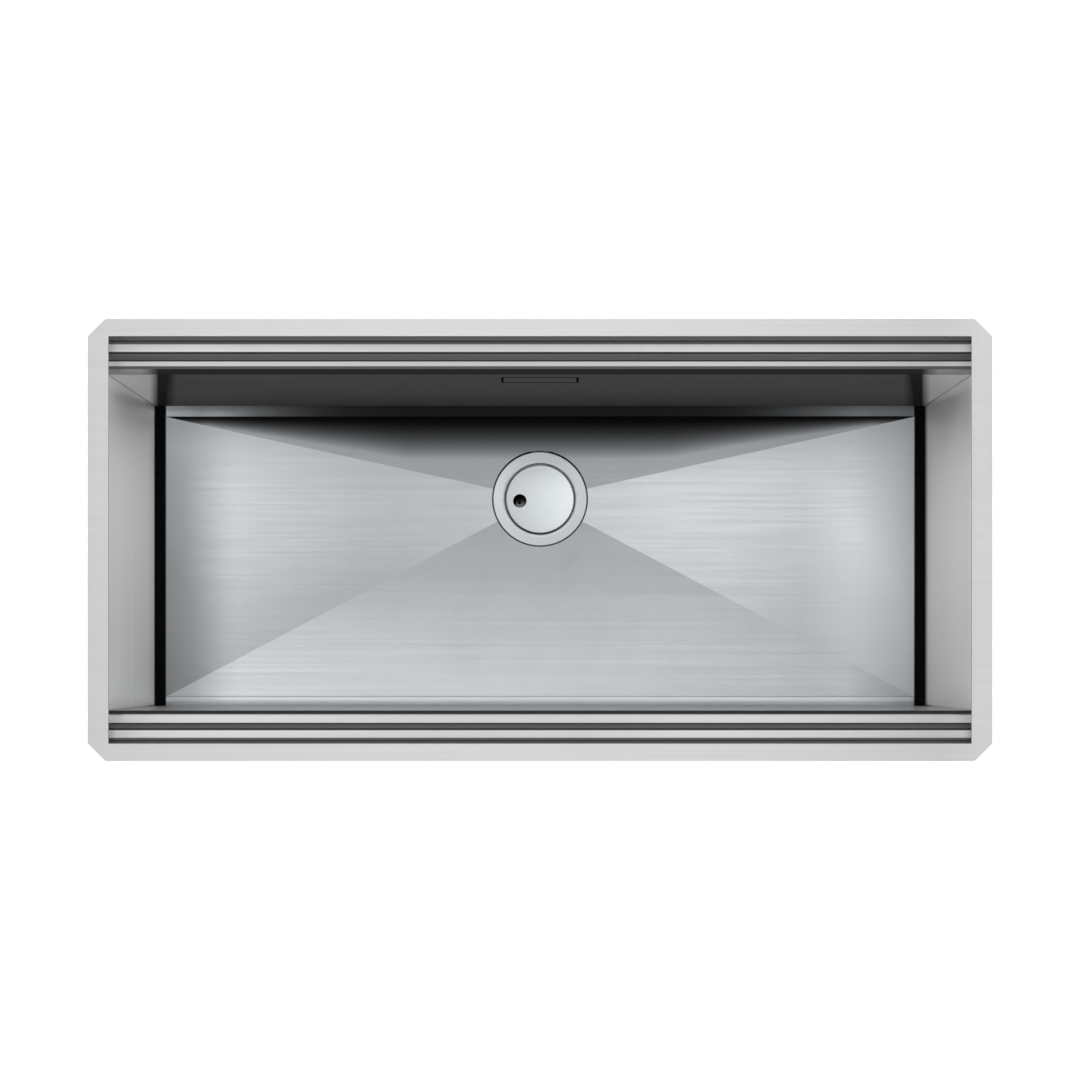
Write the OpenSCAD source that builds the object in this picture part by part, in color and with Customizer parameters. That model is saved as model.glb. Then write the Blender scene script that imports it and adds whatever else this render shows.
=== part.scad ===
// Undermount kitchen sink with stepped front and rear ledges, its basket waste and its overflow.
// Millimetres. The origin is the centre of the bowl's opening, level with the top of the rim.
// +X is to the right, +Y to the back and +Z up.

/* [Rim] */
// Length of the rim plate
rim_len = 900; // [880:1:960]
// Width of the rim plate, front to back
rim_wid = 440; // [428:1:480]
// Thickness of the rim plate
rim_t = 1.5; // [1:0.1:3]
// Leg of the 45 degree cut at each rim corner
corner_cut = 17.5; // [4:0.5:19]
// Width of the rim plate at the left and right of the opening
rim_side_w = 21; // [17:0.5:40]
// Width of the rim plate at the front and back of the opening
rim_front_w = 17.5; // [12:0.5:30]

/* [Bowl] */
// Thickness of the bowl's sheet steel
sheet_t = 1.2; // [0.8:0.1:1.8]
// Depth of the bowl at the foot of its walls
bowl_depth = 200; // [150:1:240]
// Depth of the upper ledge below the rim
upper_ledge_z = 12; // [9:0.5:14.5]
// Depth of the lower ledge below the rim
lower_ledge_z = 24; // [24:0.5:32]
// Pitch from the first riser to the second
upper_ledge_w = 16.7; // [13:0.1:20]
// Pitch from the second riser to the wall
lower_ledge_w = 15.5; // [13:0.1:20]
// Inside radius of the ledge bends
bend_r = 3.7; // [1.5:0.1:4]
// Inside radius where the walls turn into the floor
floor_bend_r = 10.5; // [6:0.5:16]
// How far the side walls stand back under the rim, past the edge of the opening
side_set_back = 8.6; // [0:0.1:10]

/* [Floor] */
// Fall of the creased floor from its edges to the drain
floor_fall = 8; // [5:0.5:12]
// Distance of the drain's centre in front of the rear wall
drain_back = 103.3; // [96:0.1:120]
// Depth of the seat of the waste below the point that the floor falls to
seat_drop = 1.4; // [0.8:0.1:2.5]
// Radius of the hole for the waste
floor_hole_r = 45; // [44:0.5:46]
// Gap round the waste's ring in its seat
seat_gap = 0.6; // [0.3:0.1:1]

/* [Waste] */
// Radius of the waste's visible ring
ring_r = 54; // [52:0.5:58]
// Thickness of the ring at its edge
ring_t = 1.2; // [0.8:0.1:2]
// Rise of the ring from its edge to its lip
ring_rise = 0.6; // [0.3:0.1:1]
// Radius of the waste's mouth
mouth_r = 41; // [40:0.25:42]
// Radius of the rounded lip round the mouth
lip_r = 1.5; // [0.8:0.1:1.8]
// Thickness of the cup's sheet steel
cup_t = 1; // [0.6:0.1:1.2]
// Depth of the shoulder that the basket rests on, below the lip
shoulder_z = 6.4; // [5.5:0.1:9]
// Width of that shoulder
shoulder_w = 3; // [2.5:0.1:3.5]
// Depth of the cup's floor below the lip
cup_depth = 49.4; // [45:0.2:56]
// Thickness of the gasket under the ring
ring_gasket_t = 1; // [0.5:0.1:2]
// Thickness of the gasket under the bowl's floor
body_gasket_t = 3; // [2:0.5:5]
// Holes round the cup's floor
cup_holes = 8; // [6:1:9]
// Radius of those holes
cup_hole_r = 4.5; // [3:0.25:5]

/* [Lid and basket] */
// Radius of the lid
lid_r = 39.5; // [38.5:0.1:39.8]
// Thickness of the lid
lid_t = 1.2; // [0.8:0.1:1.6]
// Height of the lid's crown
lid_crown = 1.8; // [1:0.1:3]
// Radius of the lid's rounded edge
lid_edge_r = 1.6; // [1.6:0.1:2]
// How far the lid's edge lies below the ring's lip
lid_drop = 0.3; // [0:0.1:0.6]
// Radius of the finger hole in the lid
finger_r = 7.75; // [6:0.25:9]
// Distance of the finger hole from the lid's centre
finger_off = 23.3; // [18:0.1:25]
// Direction of the finger hole, counted from the right
finger_dir = 186; // [0:1:360]
// Thickness of the basket's sheet steel
basket_t = 0.8; // [0.6:0.1:1.2]
// Outer radius of the basket's body at its top
basket_top_r = 36.6; // [34:0.1:37]
// Outer radius of the basket's body at its foot
basket_foot_r = 31; // [29.5:0.1:33]
// Slots round the basket
basket_slots = 18; // [12:1:20]
// Width of a slot
slot_w = 3; // [2:0.1:3.5]
// Height of a slot
slot_h = 17; // [8:0.5:18]
// Travel of the stopper from shut to open
stopper_stroke = 5; // [3:0.5:6]
// Radius of the knob on the stopper
knob_r = 9; // [7:0.5:10]
// Height of that knob
knob_h = 21; // [14:0.5:22]
// Radius of the stopper's stem
stem_r = 3; // [2.5:0.1:3.5]
// Gap between a lift-out piece and what it rests on
rest_gap = 0.3; // [0.2:0.05:0.4]

/* [Waste body] */
// Inner radius of the waste body
body_r = 43.5; // [43:0.5:46]
// Thickness of the waste body's wall
body_t = 3; // [2.5:0.1:4]
// Thickness of its clamping flange
body_flange_t = 4; // [3:0.5:6]
// Room between the cup's floor and the waste body's funnel
body_room = 5; // [4:0.5:10]
// Outer radius of the outlet's thread
outlet_r = 23.9; // [20:0.1:24.5]
// Bore radius of the outlet
outlet_bore_r = 20; // [17:0.1:20]
// Length of the outlet's thread
outlet_len = 21; // [16:0.5:30]
// Radius of the fixing screw's shank
screw_r = 3; // [2.5:0.1:4]

/* [Overflow] */
// Width of the overflow hole in the rear wall
over_w = 80; // [60:0.5:100]
// Height of the overflow hole
over_h = 27; // [25:0.5:34]
// Depth of the overflow hole's centre below the rim
over_z = 53.3; // [50:0.1:70]
// Gap at each end of the cover plate
cover_end_gap = 2.4; // [1.5:0.1:4]
// Gap above and below the cover plate
cover_gap = 1.2; // [0.6:0.1:2]
// Thickness of the seal behind the wall
over_seal_t = 2; // [1:0.1:3]
// Depth of the overflow box, front to back
over_box_d = 30; // [28:0.5:36]
// Wall of the overflow box
over_box_t = 2; // [1.5:0.1:3]
// Radius of the overflow pipe
pipe_r = 11; // [9:0.1:11.5]
// Bore radius of the overflow pipe
pipe_bore_r = 9; // [7:0.1:9]
// Bend radius of the overflow pipe at its centre line
pipe_bend_r = 30; // [26:0.5:34]
// Wall of the two threaded sockets that the pipe enters
socket_t = 2.3; // [2:0.1:2.5]
// Length of a threaded socket
socket_len = 22; // [18:0.5:24]

/* [Sound pads] */
// Thickness of the pads on the walls
wall_pad_t = 2.5; // [1.5:0.1:4]
// Thickness of the pads under the floor
floor_pad_t = 3; // [2:0.1:4]
// Height of the pads on the walls
wall_pad_h = 110; // [60:1:115]
// Length of the pad on the front wall
front_pad_len = 620; // [300:1:700]
// Length of each pad on the rear wall
rear_pad_len = 250; // [120:1:260]
// Length of the pads on the side walls
side_pad_len = 240; // [120:1:280]
// Gap between the rear pads and the overflow box
rear_pad_gap = 14; // [6:0.5:30]
// Gap between the waste and the floor pads
floor_pad_gap = 26; // [12:0.5:40]
// Gap between the waste and the narrow floor pad behind it
rear_floor_pad_gap = 10; // [6:0.5:14]
// Border left bare round a floor pad
floor_pad_border = 6; // [3:0.5:10]

/* [Hidden] */

$fn = 96;
over = 1;

// Bowl section, with p counted inwards from the edge of the opening
open_len = rim_len - 2 * rim_side_w;
open_wid = rim_wid - 2 * rim_front_w;
open_x = open_len / 2;
open_y = open_wid / 2;
inner_x = open_x + side_set_back;
side_x = inner_x + sheet_t;
riser_2_p = upper_ledge_w;
wall_p = riser_2_p + lower_ledge_w;
outer_bend_r = bend_r + sheet_t;
concave_1_p = bend_r;
concave_1_z = -upper_ledge_z + bend_r;
convex_1_p = riser_2_p - outer_bend_r;
convex_1_z = -upper_ledge_z - outer_bend_r;
concave_2_p = riser_2_p + bend_r;
concave_2_z = -lower_ledge_z + bend_r;
convex_2_p = wall_p - outer_bend_r;
convex_2_z = -lower_ledge_z - outer_bend_r;
wall_y = open_y - wall_p;
drain_y = wall_y - drain_back;
wall_back_y = wall_y + sheet_t;
floor_edge_x = inner_x - floor_bend_r;
floor_edge_y = wall_y - floor_bend_r;
bend_start_z = -(bowl_depth - floor_bend_r);

// Rebate under the rim that the bowl's edge is welded into
rebate_d = 0.3;
rebate_w = 2.2;
wall_top_z = -rim_t + rebate_d;
rebate_x = side_x + rebate_w;
rebate_y = open_y + sheet_t + rebate_w;

// Waste levels
apex_z = -(bowl_depth + floor_fall);
seat_z = apex_z - seat_drop;
seat_r = ring_r + seat_gap;
seat_under_z = seat_z - sheet_t;
ring_under_z = seat_z + ring_gasket_t;
ring_edge_z = ring_under_z + ring_t;
lip_z = ring_edge_z + ring_rise;
cup_r = mouth_r - shoulder_w;
cup_shoulder_z = lip_z - shoulder_z;
cup_floor_z = lip_z - cup_depth;
cup_corner_r = 4;
cup_hole_ring_r = 20;

// Basket and lid levels
rim_under_z = cup_shoulder_z + rest_gap;
basket_rim_z = rim_under_z + basket_t;
basket_rim_r = mouth_r - 2 * rest_gap;
lid_skirt_z = basket_rim_z + rest_gap;
lid_edge_z = lip_z - lid_drop;

// Stopper levels, shut
seal_lip_z = cup_floor_z + rest_gap;
seal_lip_h = 2.9;
seal_t = 2.5;
seal_r = cup_r - cup_corner_r - 2;
seal_plate_z = seal_lip_z + seal_lip_h;
foot_t = 1.5;
foot_r = 14;
foot_top_z = seal_plate_z + seal_t + foot_t;
basket_under_z = foot_top_z + stopper_stroke + rest_gap;
basket_floor_z = basket_under_z + basket_t;
knob_z = basket_floor_z + rest_gap;
stem_clearance = 0.3;

// Fixing screw
screw_head_r = 2 * screw_r;
screw_head_h = 2.4;
screw_gap = 0.3;
screw_tail = 2;
insert_r = screw_r + 2;
insert_h = 9;
hub_r = insert_r + 3;
hub_gap = 1;
cup_under_z = cup_floor_z - cup_t;
hub_top_z = cup_under_z - hub_gap;

// Waste body levels
gasket_r = ring_r - 1;
body_top_z = seat_under_z - body_gasket_t;
body_foot_z = cup_under_z - body_room;
funnel_h = 10;
hub_foot_z = body_foot_z - 0.6 * funnel_h;
hub_h = hub_top_z - hub_foot_z;
spoke_h = 0.6 * funnel_h + 1;
outlet_top_z = body_foot_z - funnel_h;
thread_top_z = outlet_top_z - 5;
outlet_z = thread_top_z - outlet_len;
outlet_collar_r = outlet_r + 3.1;

// Overflow
cover_w = over_w - 2 * cover_end_gap;
cover_h = over_h - 2 * cover_gap;
over_margin = 8;
over_lip = 7;
box_w = over_w + 2 * over_margin;
box_h = over_h + 2 * over_lip;
box_y = wall_back_y + over_seal_t;
box_back_y = box_y + over_box_d;
box_foot_z = -over_z - box_h / 2;
post_x = 25;
post_r = 3;
post_gap = 0.1;
post_socket_d = 8;
ear_w = 14;
ear_h = 16;
ear_corner_r = 6;
ear_t = 4;
stud_x = box_w / 2 + ear_w / 2;
stud_r = 2.5;
stud_len = over_seal_t + ear_t + 7;
nut_flat_r = 4.62;
nut_t = 4;

// Overflow pipe, from the box's socket to the waste body's
socket_r = pipe_r + 0.2 + socket_t;
socket_stop = 6;
pipe_nut_gap = 0.1;
pipe_nut_t = 3;
pipe_nut_r = socket_r + pipe_nut_gap + pipe_nut_t;
pipe_nut_lip = 2;
pipe_nut_h = 14;
nut_wall_gap = 1.5;
inlet_rise = 8.5;
washer_t = 3;
pipe_y = wall_back_y + pipe_nut_r + nut_wall_gap;
pipe_top_z = box_foot_z - socket_stop;
inlet_z = body_foot_z + socket_r + inlet_rise;
socket_y = drain_y + body_r + body_t;
pipe_end_y = socket_y + socket_stop;

// Sound pads
pad_corner_r = 12;
pad_lower = 6;
pad_z = -(lower_ledge_z + bowl_depth) / 2 - pad_lower;
rear_pad_x = box_w / 2 + ear_w + rear_pad_gap;
pad_drain_clear = ring_r + floor_pad_gap;
rear_pad_clear = ring_r + rear_floor_pad_gap;

module rounded_rect(w, h, r) {
    square([w - 2 * r, h], center = true);
    square([w, h - 2 * r], center = true);
    for (x = [-1, 1])
        for (y = [-1, 1])
            translate([x * (w / 2 - r), y * (h / 2 - r)])
                circle(r);
}

// A quarter of a bend in the sheet: from 0, 90, 180 or 270 degrees
module bend(p, z, r, from, t = sheet_t) {
    translate([p, z])
        intersection() {
            difference() {
                circle(r + t);
                circle(r);
            }
            rotate(from)
                square(r + t);
        }
}

module strip(p, z, w, h) {
    translate([p, z])
        square([w, h]);
}

// Runs a section drawn in Y and Z along X
module along_x(x, len) {
    translate([x, 0, 0])
        rotate([90, 0, 90])
            linear_extrude(len)
                children();
}

// Stands a shape drawn in X and Z on a plane behind y
module standing(y, t) {
    translate([0, y + t, 0])
        rotate([90, 0, 0])
            linear_extrude(t)
                children();
}

module at_drain() {
    translate([0, drain_y, 0])
        children();
}

module at_overflow() {
    translate([0, 0, -over_z])
        children();
}

// The creased slab under the floor's four facets, from its upper face down
module floor_slab(top_shift, thick) {
    edge = -bowl_depth + top_shift;
    point = apex_z + top_shift;
    corners = [[-floor_edge_x, -floor_edge_y], [floor_edge_x, -floor_edge_y],
        [floor_edge_x, floor_edge_y], [-floor_edge_x, floor_edge_y]];
    points = [
        for (c = corners) [c[0], c[1], edge],
        [0, drain_y, point],
        for (c = corners) [c[0], c[1], edge - thick],
        [0, drain_y, point - thick]
    ];
    faces = [
        for (i = [0:3]) [4, (i + 1) % 4, i],
        for (i = [0:3]) [9, 5 + i, 5 + (i + 1) % 4],
        for (i = [0:3]) [i, (i + 1) % 4, 5 + (i + 1) % 4],
        for (i = [0:3]) [i, 5 + (i + 1) % 4, 5 + i]
    ];
    polyhedron(points, faces);
}

// Half section of the upper ledge, below its riser, which stands under the rim
module upper_ledge_section() {
    strip(-sheet_t, concave_1_z, sheet_t, wall_top_z - concave_1_z);
    bend(concave_1_p, concave_1_z, bend_r, 180);
    strip(concave_1_p, -upper_ledge_z - sheet_t, convex_1_p - concave_1_p, sheet_t);
}

// Half section of the lower ledge, below its riser and the bend over it
module lower_ledge_section() {
    bend(convex_1_p, convex_1_z, bend_r, 0);
    strip(riser_2_p - sheet_t, concave_2_z, sheet_t, convex_1_z - concave_2_z);
    bend(concave_2_p, concave_2_z, bend_r, 180);
    strip(concave_2_p, -lower_ledge_z - sheet_t, convex_2_p - concave_2_p, sheet_t);
}

// Half section of the flat wall and the bend over it
module wall_section() {
    bend(convex_2_p, convex_2_z, bend_r, 0);
    strip(wall_p - sheet_t, bend_start_z, sheet_t, convex_2_z - bend_start_z);
}

module rear_side() {
    translate([open_y, 0])
        mirror([1, 0])
            children();
}

module front_side() {
    translate([-open_y, 0])
        children();
}

// A level of the side wall: straight sides down from the rim, with rounded lower corners
module wall_level(half_w, depth, r) {
    strip(-half_w, -depth + r, 2 * half_w, wall_top_z + depth - r);
    strip(-half_w + r, -depth, 2 * (half_w - r), r);
    for (s = [-1, 1])
        translate([s * (half_w - r), -depth + r])
            circle(r);
}

// The fillet that the ledge's bend leaves under a level, on both sides
module level_fillet(half_w, depth) {
    for (s = [0, 1])
        mirror([s, 0])
            translate([half_w, -depth - bend_r])
                difference() {
                    square(bend_r);
                    translate([bend_r, 0])
                        circle(bend_r);
                }
}

module side_wall_outline() {
    upper_w = open_y - riser_2_p + sheet_t;
    wall_level(open_y + sheet_t, upper_ledge_z + sheet_t, outer_bend_r);
    wall_level(upper_w, lower_ledge_z + sheet_t, outer_bend_r);
    strip(-wall_back_y, bend_start_z, 2 * wall_back_y, wall_top_z - bend_start_z);
    level_fillet(upper_w, upper_ledge_z + sheet_t);
    level_fillet(wall_back_y, lower_ledge_z + sheet_t);
}

module rim_flange() {
    x = rim_len / 2;
    y = rim_wid / 2;
    c = corner_cut;
    color("gainsboro")
        difference() {
            translate([0, 0, -rim_t])
                linear_extrude(rim_t)
                    difference() {
                        polygon([[-x + c, -y], [x - c, -y], [x, -y + c], [x, y - c],
                            [x - c, y], [-x + c, y], [-x, y - c], [-x, -y + c]]);
                        square([open_len, open_wid], center = true);
                    }
            translate([0, 0, -rim_t - over])
                linear_extrude(rebate_d + over)
                    square([2 * rebate_x, 2 * rebate_y], center = true);
        }
}

module rear_upper_ledge() {
    color("silver")
        along_x(-inner_x, 2 * inner_x)
            rear_side()
                upper_ledge_section();
}

module rear_lower_ledge() {
    color("darkgray")
        along_x(-inner_x, 2 * inner_x)
            rear_side()
                lower_ledge_section();
}

module rear_wall() {
    color("dimgray")
        difference() {
            along_x(-inner_x, 2 * inner_x)
                rear_side()
                    wall_section();
            at_overflow()
                standing(wall_y - over, sheet_t + 2 * over)
                    rounded_rect(over_w, over_h, 2);
        }
}

module front_upper_ledge() {
    color("silver")
        along_x(-inner_x, 2 * inner_x)
            front_side()
                upper_ledge_section();
}

module front_lower_ledge() {
    color("darkgray")
        along_x(-inner_x, 2 * inner_x)
            front_side()
                lower_ledge_section();
}

module front_wall() {
    color("dimgray")
        along_x(-inner_x, 2 * inner_x)
            front_side()
                wall_section();
}

module left_wall() {
    color("darkgray")
        along_x(-side_x, sheet_t)
            side_wall_outline();
}

module right_wall() {
    color("darkgray")
        along_x(inner_x, sheet_t)
            side_wall_outline();
}

// The bend along one edge of the floor, mitred at both ends: half the edge's length, and its distance
module floor_bend(half_len, edge) {
    reach = floor_bend_r + sheet_t;
    intersection() {
        along_x(-half_len - reach, 2 * (half_len + reach))
            translate([edge, bend_start_z])
                intersection() {
                    difference() {
                        circle(reach);
                        circle(floor_bend_r);
                    }
                    rotate(270)
                        square(reach);
                }
        translate([0, 0, -bowl_depth - 2 * sheet_t])
            linear_extrude(floor_bend_r + 2 * sheet_t)
                polygon([[-half_len, edge], [half_len, edge],
                    [half_len + reach, edge + reach], [-half_len - reach, edge + reach]]);
    }
}

module floor_pan() {
    plug_h = 20;
    color("lightgray")
        difference() {
            union() {
                floor_slab(0, sheet_t);
                intersection() {
                    floor_slab(0, plug_h);
                    at_drain()
                        translate([0, 0, seat_under_z])
                            cylinder(h = plug_h, r = seat_r + 2 * sheet_t);
                }
                for (turn = [0, 180]) {
                    rotate(turn)
                        floor_bend(floor_edge_x, floor_edge_y);
                    rotate(turn + 90)
                        floor_bend(floor_edge_y, floor_edge_x);
                }
            }
            at_drain() {
                translate([0, 0, seat_z])
                    cylinder(h = plug_h, r1 = seat_r, r2 = seat_r + sheet_t);
                translate([0, 0, seat_under_z - over])
                    cylinder(h = plug_h, r = floor_hole_r);
            }
        }
}

module side_pad(x) {
    color([0.16, 0.17, 0.18])
        along_x(x, wall_pad_t)
            translate([0, pad_z])
                rounded_rect(side_pad_len, wall_pad_h, pad_corner_r);
}

module pad_left() {
    side_pad(-side_x - wall_pad_t);
}

module pad_right() {
    side_pad(side_x);
}

module pad_front() {
    color([0.16, 0.17, 0.18])
        standing(-wall_back_y - wall_pad_t, wall_pad_t)
            translate([0, pad_z])
                rounded_rect(front_pad_len, wall_pad_h, pad_corner_r);
}

module pad_rear() {
    color([0.16, 0.17, 0.18])
        standing(wall_back_y, wall_pad_t)
            for (s = [-1, 1])
                translate([s * (rear_pad_x + rear_pad_len / 2), pad_z])
                    rounded_rect(rear_pad_len, wall_pad_h, pad_corner_r);
}

// The part of one facet between its edge and the waste, drawn in a little from its borders
function facet_pad(a, b, edge_dist, clear) =
    let (
        apex = [0, drain_y],
        near = 1 - clear / edge_dist,
        far = floor_pad_border / edge_dist,
        inset = 1 - 3 * floor_pad_border / norm(b - a),
        shape = [a + (apex - a) * far, b + (apex - b) * far,
            b + (apex - b) * near, a + (apex - a) * near],
        mid = (shape[0] + shape[1] + shape[2] + shape[3]) / 4
    )
    [for (q = shape) mid + (q - mid) * inset];

module floor_pad(shape) {
    color([0.16, 0.17, 0.18])
        intersection() {
            floor_slab(-sheet_t, floor_pad_t);
            translate([0, 0, apex_z - floor_pad_t - over - sheet_t])
                linear_extrude(floor_fall + 2 * floor_pad_t + sheet_t + over)
                    polygon(shape);
        }
}

module pad_floor_left() {
    floor_pad(facet_pad([-floor_edge_x, floor_edge_y], [-floor_edge_x, -floor_edge_y],
        floor_edge_x, pad_drain_clear));
}

module pad_floor_right() {
    floor_pad(facet_pad([floor_edge_x, -floor_edge_y], [floor_edge_x, floor_edge_y],
        floor_edge_x, pad_drain_clear));
}

module pad_floor_front() {
    floor_pad(facet_pad([-floor_edge_x, -floor_edge_y], [floor_edge_x, -floor_edge_y],
        floor_edge_y + drain_y, pad_drain_clear));
}

module pad_floor_rear() {
    floor_pad(facet_pad([floor_edge_x, floor_edge_y], [-floor_edge_x, floor_edge_y],
        floor_edge_y - drain_y, rear_pad_clear));
}

// Half section of the waste's ring and cup
module cup_section() {
    edge = ring_t / 2;
    shoulder_under_z = cup_shoulder_z - cup_t;
    wall_foot_z = cup_floor_z + cup_corner_r;
    difference() {
        polygon([[mouth_r, cup_shoulder_z], [cup_r, cup_shoulder_z], [cup_r, shoulder_under_z],
            [mouth_r + cup_t, shoulder_under_z], [mouth_r + cup_t, ring_under_z], [ring_r, ring_under_z],
            [ring_r, ring_edge_z - edge], [ring_r - edge, ring_edge_z],
            [mouth_r + lip_r, lip_z], [mouth_r, lip_z]]);
        translate([mouth_r, lip_z - lip_r])
            difference() {
                square(lip_r);
                translate([lip_r, 0])
                    circle(lip_r);
            }
    }
    strip(cup_r, wall_foot_z, cup_t, cup_shoulder_z - cup_t / 2 - wall_foot_z);
    bend(cup_r - cup_corner_r, cup_floor_z + cup_corner_r, cup_corner_r, 270, cup_t);
    strip(0, cup_floor_z - cup_t, cup_r - cup_corner_r, cup_t);
}

module waste_flange() {
    color("lightgray")
        at_drain()
            difference() {
                rotate_extrude()
                    cup_section();
                translate([0, 0, cup_floor_z - cup_t - over]) {
                    cylinder(h = cup_t + 2 * over, r = screw_r + screw_gap, $fn = 32);
                    for (i = [0:cup_holes - 1])
                        rotate(i * 360 / cup_holes)
                            translate([cup_hole_ring_r, 0, 0])
                                cylinder(h = cup_t + 2 * over, r = cup_hole_r, $fn = 48);
                }
            }
}

module ring_gasket(z, t) {
    at_drain()
        translate([0, 0, z])
            difference() {
                cylinder(h = t, r = gasket_r);
                translate([0, 0, -over])
                    cylinder(h = t + 2 * over, r = floor_hole_r + 0.5);
            }
}

module waste_top_gasket() {
    color("dimgray")
        ring_gasket(seat_z, ring_gasket_t);
}

module waste_bottom_gasket() {
    color([0.1, 0.1, 0.1])
        ring_gasket(body_top_z, body_gasket_t);
}

module body_section() {
    foot_out = body_r + body_t;
    polygon([[body_r, body_top_z], [ring_r, body_top_z], [ring_r, body_top_z - body_flange_t],
        [foot_out, body_top_z - body_flange_t], [foot_out, body_foot_z - body_t],
        [outlet_collar_r, outlet_top_z - body_t], [outlet_collar_r, thread_top_z],
        [outlet_r, thread_top_z], [outlet_r, outlet_z], [outlet_bore_r, outlet_z],
        [outlet_bore_r, outlet_top_z], [body_r, body_foot_z]]);
}

// A gusset under the clamping flange, from the body's wall out to the flange's edge
module gusset_outline() {
    gusset_h = 18;
    gusset_top_z = body_top_z - body_flange_t;
    polygon([[body_r + 1, body_top_z - 1], [ring_r - 1, body_top_z - 1], [ring_r - 1, gusset_top_z - 1],
        [body_r + body_t, gusset_top_z - gusset_h], [body_r + 1, gusset_top_z - gusset_h]]);
}

module waste_body() {
    spoke_reach = outlet_r + 11.6;
    gusset_t = 2.5;
    color([0.9, 0.9, 0.88])
        at_drain()
            difference() {
                union() {
                    rotate_extrude()
                        body_section();
                    translate([0, 0, hub_foot_z])
                        cylinder(h = hub_h, r = hub_r);
                    for (i = [0:3])
                        rotate(45 + 90 * i)
                            translate([hub_r - 1, -1.5, hub_foot_z])
                                cube([spoke_reach - hub_r + 1, 3, spoke_h]);
                    for (i = [0:7])
                        rotate(22.5 + 45 * i)
                            rotate([90, 0, 0])
                                translate([0, 0, -gusset_t / 2])
                                    linear_extrude(gusset_t)
                                        gusset_outline();
                    translate([0, body_r + 1, inlet_z])
                        rotate([-90, 0, 0])
                            cylinder(h = body_t - 1 + socket_len, r = socket_r);
                }
                translate([0, 0, hub_top_z - insert_h])
                    cylinder(h = insert_h + over, r = insert_r);
                translate([0, 0, hub_foot_z - over])
                    cylinder(h = hub_h + 2 * over, r = screw_r + screw_gap);
                translate([0, body_r - over, inlet_z])
                    rotate([-90, 0, 0])
                        cylinder(h = body_t + socket_len + 2 * over, r = pipe_bore_r);
                translate([0, body_r + body_t + socket_stop, inlet_z])
                    rotate([-90, 0, 0])
                        cylinder(h = socket_len, r = pipe_r + 0.2);
            }
}

module waste_screw() {
    color("silver")
        at_drain() {
            translate([0, 0, hub_foot_z - screw_tail])
                cylinder(h = cup_floor_z - hub_foot_z + screw_tail, r = screw_r);
            difference() {
                translate([0, 0, cup_floor_z])
                    cylinder(h = screw_head_h, r1 = screw_head_r, r2 = screw_head_r - 1);
                translate([-screw_head_r, -0.5, cup_floor_z + screw_head_h - 1])
                    cube([2 * screw_head_r, 1, 2]);
            }
        }
}

module waste_insert() {
    color("goldenrod")
        at_drain()
            translate([0, 0, hub_top_z - insert_h])
                difference() {
                    cylinder(h = insert_h, r = insert_r);
                    translate([0, 0, -over])
                        cylinder(h = insert_h + 2 * over, r = screw_r);
                }
}

// Half section of the basket: a rolled rim, a tapered wall and a flat floor
module basket_section() {
    edge = basket_t / 2;
    corner = 1.5;
    inside_r = basket_foot_r - basket_t;
    polygon([[0, basket_under_z], [basket_foot_r - corner, basket_under_z],
        [basket_foot_r, basket_under_z + corner], [basket_top_r, rim_under_z],
        [basket_rim_r - edge, rim_under_z], [basket_rim_r, rim_under_z + edge],
        [basket_rim_r - edge, basket_rim_z], [basket_top_r - basket_t, basket_rim_z],
        [inside_r, basket_floor_z + corner], [inside_r - corner, basket_floor_z], [0, basket_floor_z]]);
}

module basket() {
    inner_ring_r = 15;
    outer_ring_r = basket_foot_r - 7;
    slot_z = (basket_floor_z + basket_rim_z) / 2 - 1;
    slot_over = 4;
    color("silver")
        at_drain()
            difference() {
                rotate_extrude()
                    basket_section();
                for (i = [0:basket_slots - 1])
                    rotate(i * 360 / basket_slots)
                        translate([basket_foot_r - slot_over, -slot_w / 2, slot_z - slot_h / 2])
                            cube([basket_top_r - basket_foot_r + 2 * slot_over, slot_w, slot_h]);
                translate([0, 0, basket_under_z - over]) {
                    cylinder(h = basket_t + 2 * over, r = stem_r + stem_clearance, $fn = 48);
                    for (i = [0:7])
                        rotate(i * 45)
                            translate([inner_ring_r, 0, 0])
                                cylinder(h = basket_t + 2 * over, r = 2, $fn = 32);
                    for (i = [0:13])
                        rotate(i * 360 / 14)
                            translate([outer_ring_r, 0, 0])
                                cylinder(h = basket_t + 2 * over, r = 2, $fn = 32);
                }
            }
}

// A mushroom knob on a waisted neck, bored for the stem
module basket_knob() {
    neck_r = stem_r + 2.5;
    cap_h = 7;
    edge_r = 2;
    color("silver")
        at_drain()
            translate([0, 0, knob_z])
                difference() {
                    rotate_extrude() {
                        polygon([[0, 0], [neck_r + 1.5, 0], [neck_r + 1.5, 1.5], [neck_r, 4],
                            [neck_r, knob_h - cap_h - 3], [knob_r, knob_h - cap_h],
                            [knob_r, knob_h - edge_r], [0, knob_h - edge_r]]);
                        strip(0, knob_h - edge_r, knob_r - edge_r, edge_r);
                        translate([knob_r - edge_r, knob_h - edge_r])
                            circle(edge_r);
                    }
                    translate([0, 0, -over])
                        cylinder(h = knob_h - 4 + over, r = stem_r + 0.05);
                }
}

module basket_stem() {
    color("gray")
        at_drain() {
            translate([0, 0, foot_top_z - foot_t])
                cylinder(h = foot_t, r = foot_r);
            translate([0, 0, foot_top_z - foot_t / 2])
                cylinder(h = knob_z + knob_h - 4.2 - foot_top_z + foot_t / 2, r = stem_r);
        }
}

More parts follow.
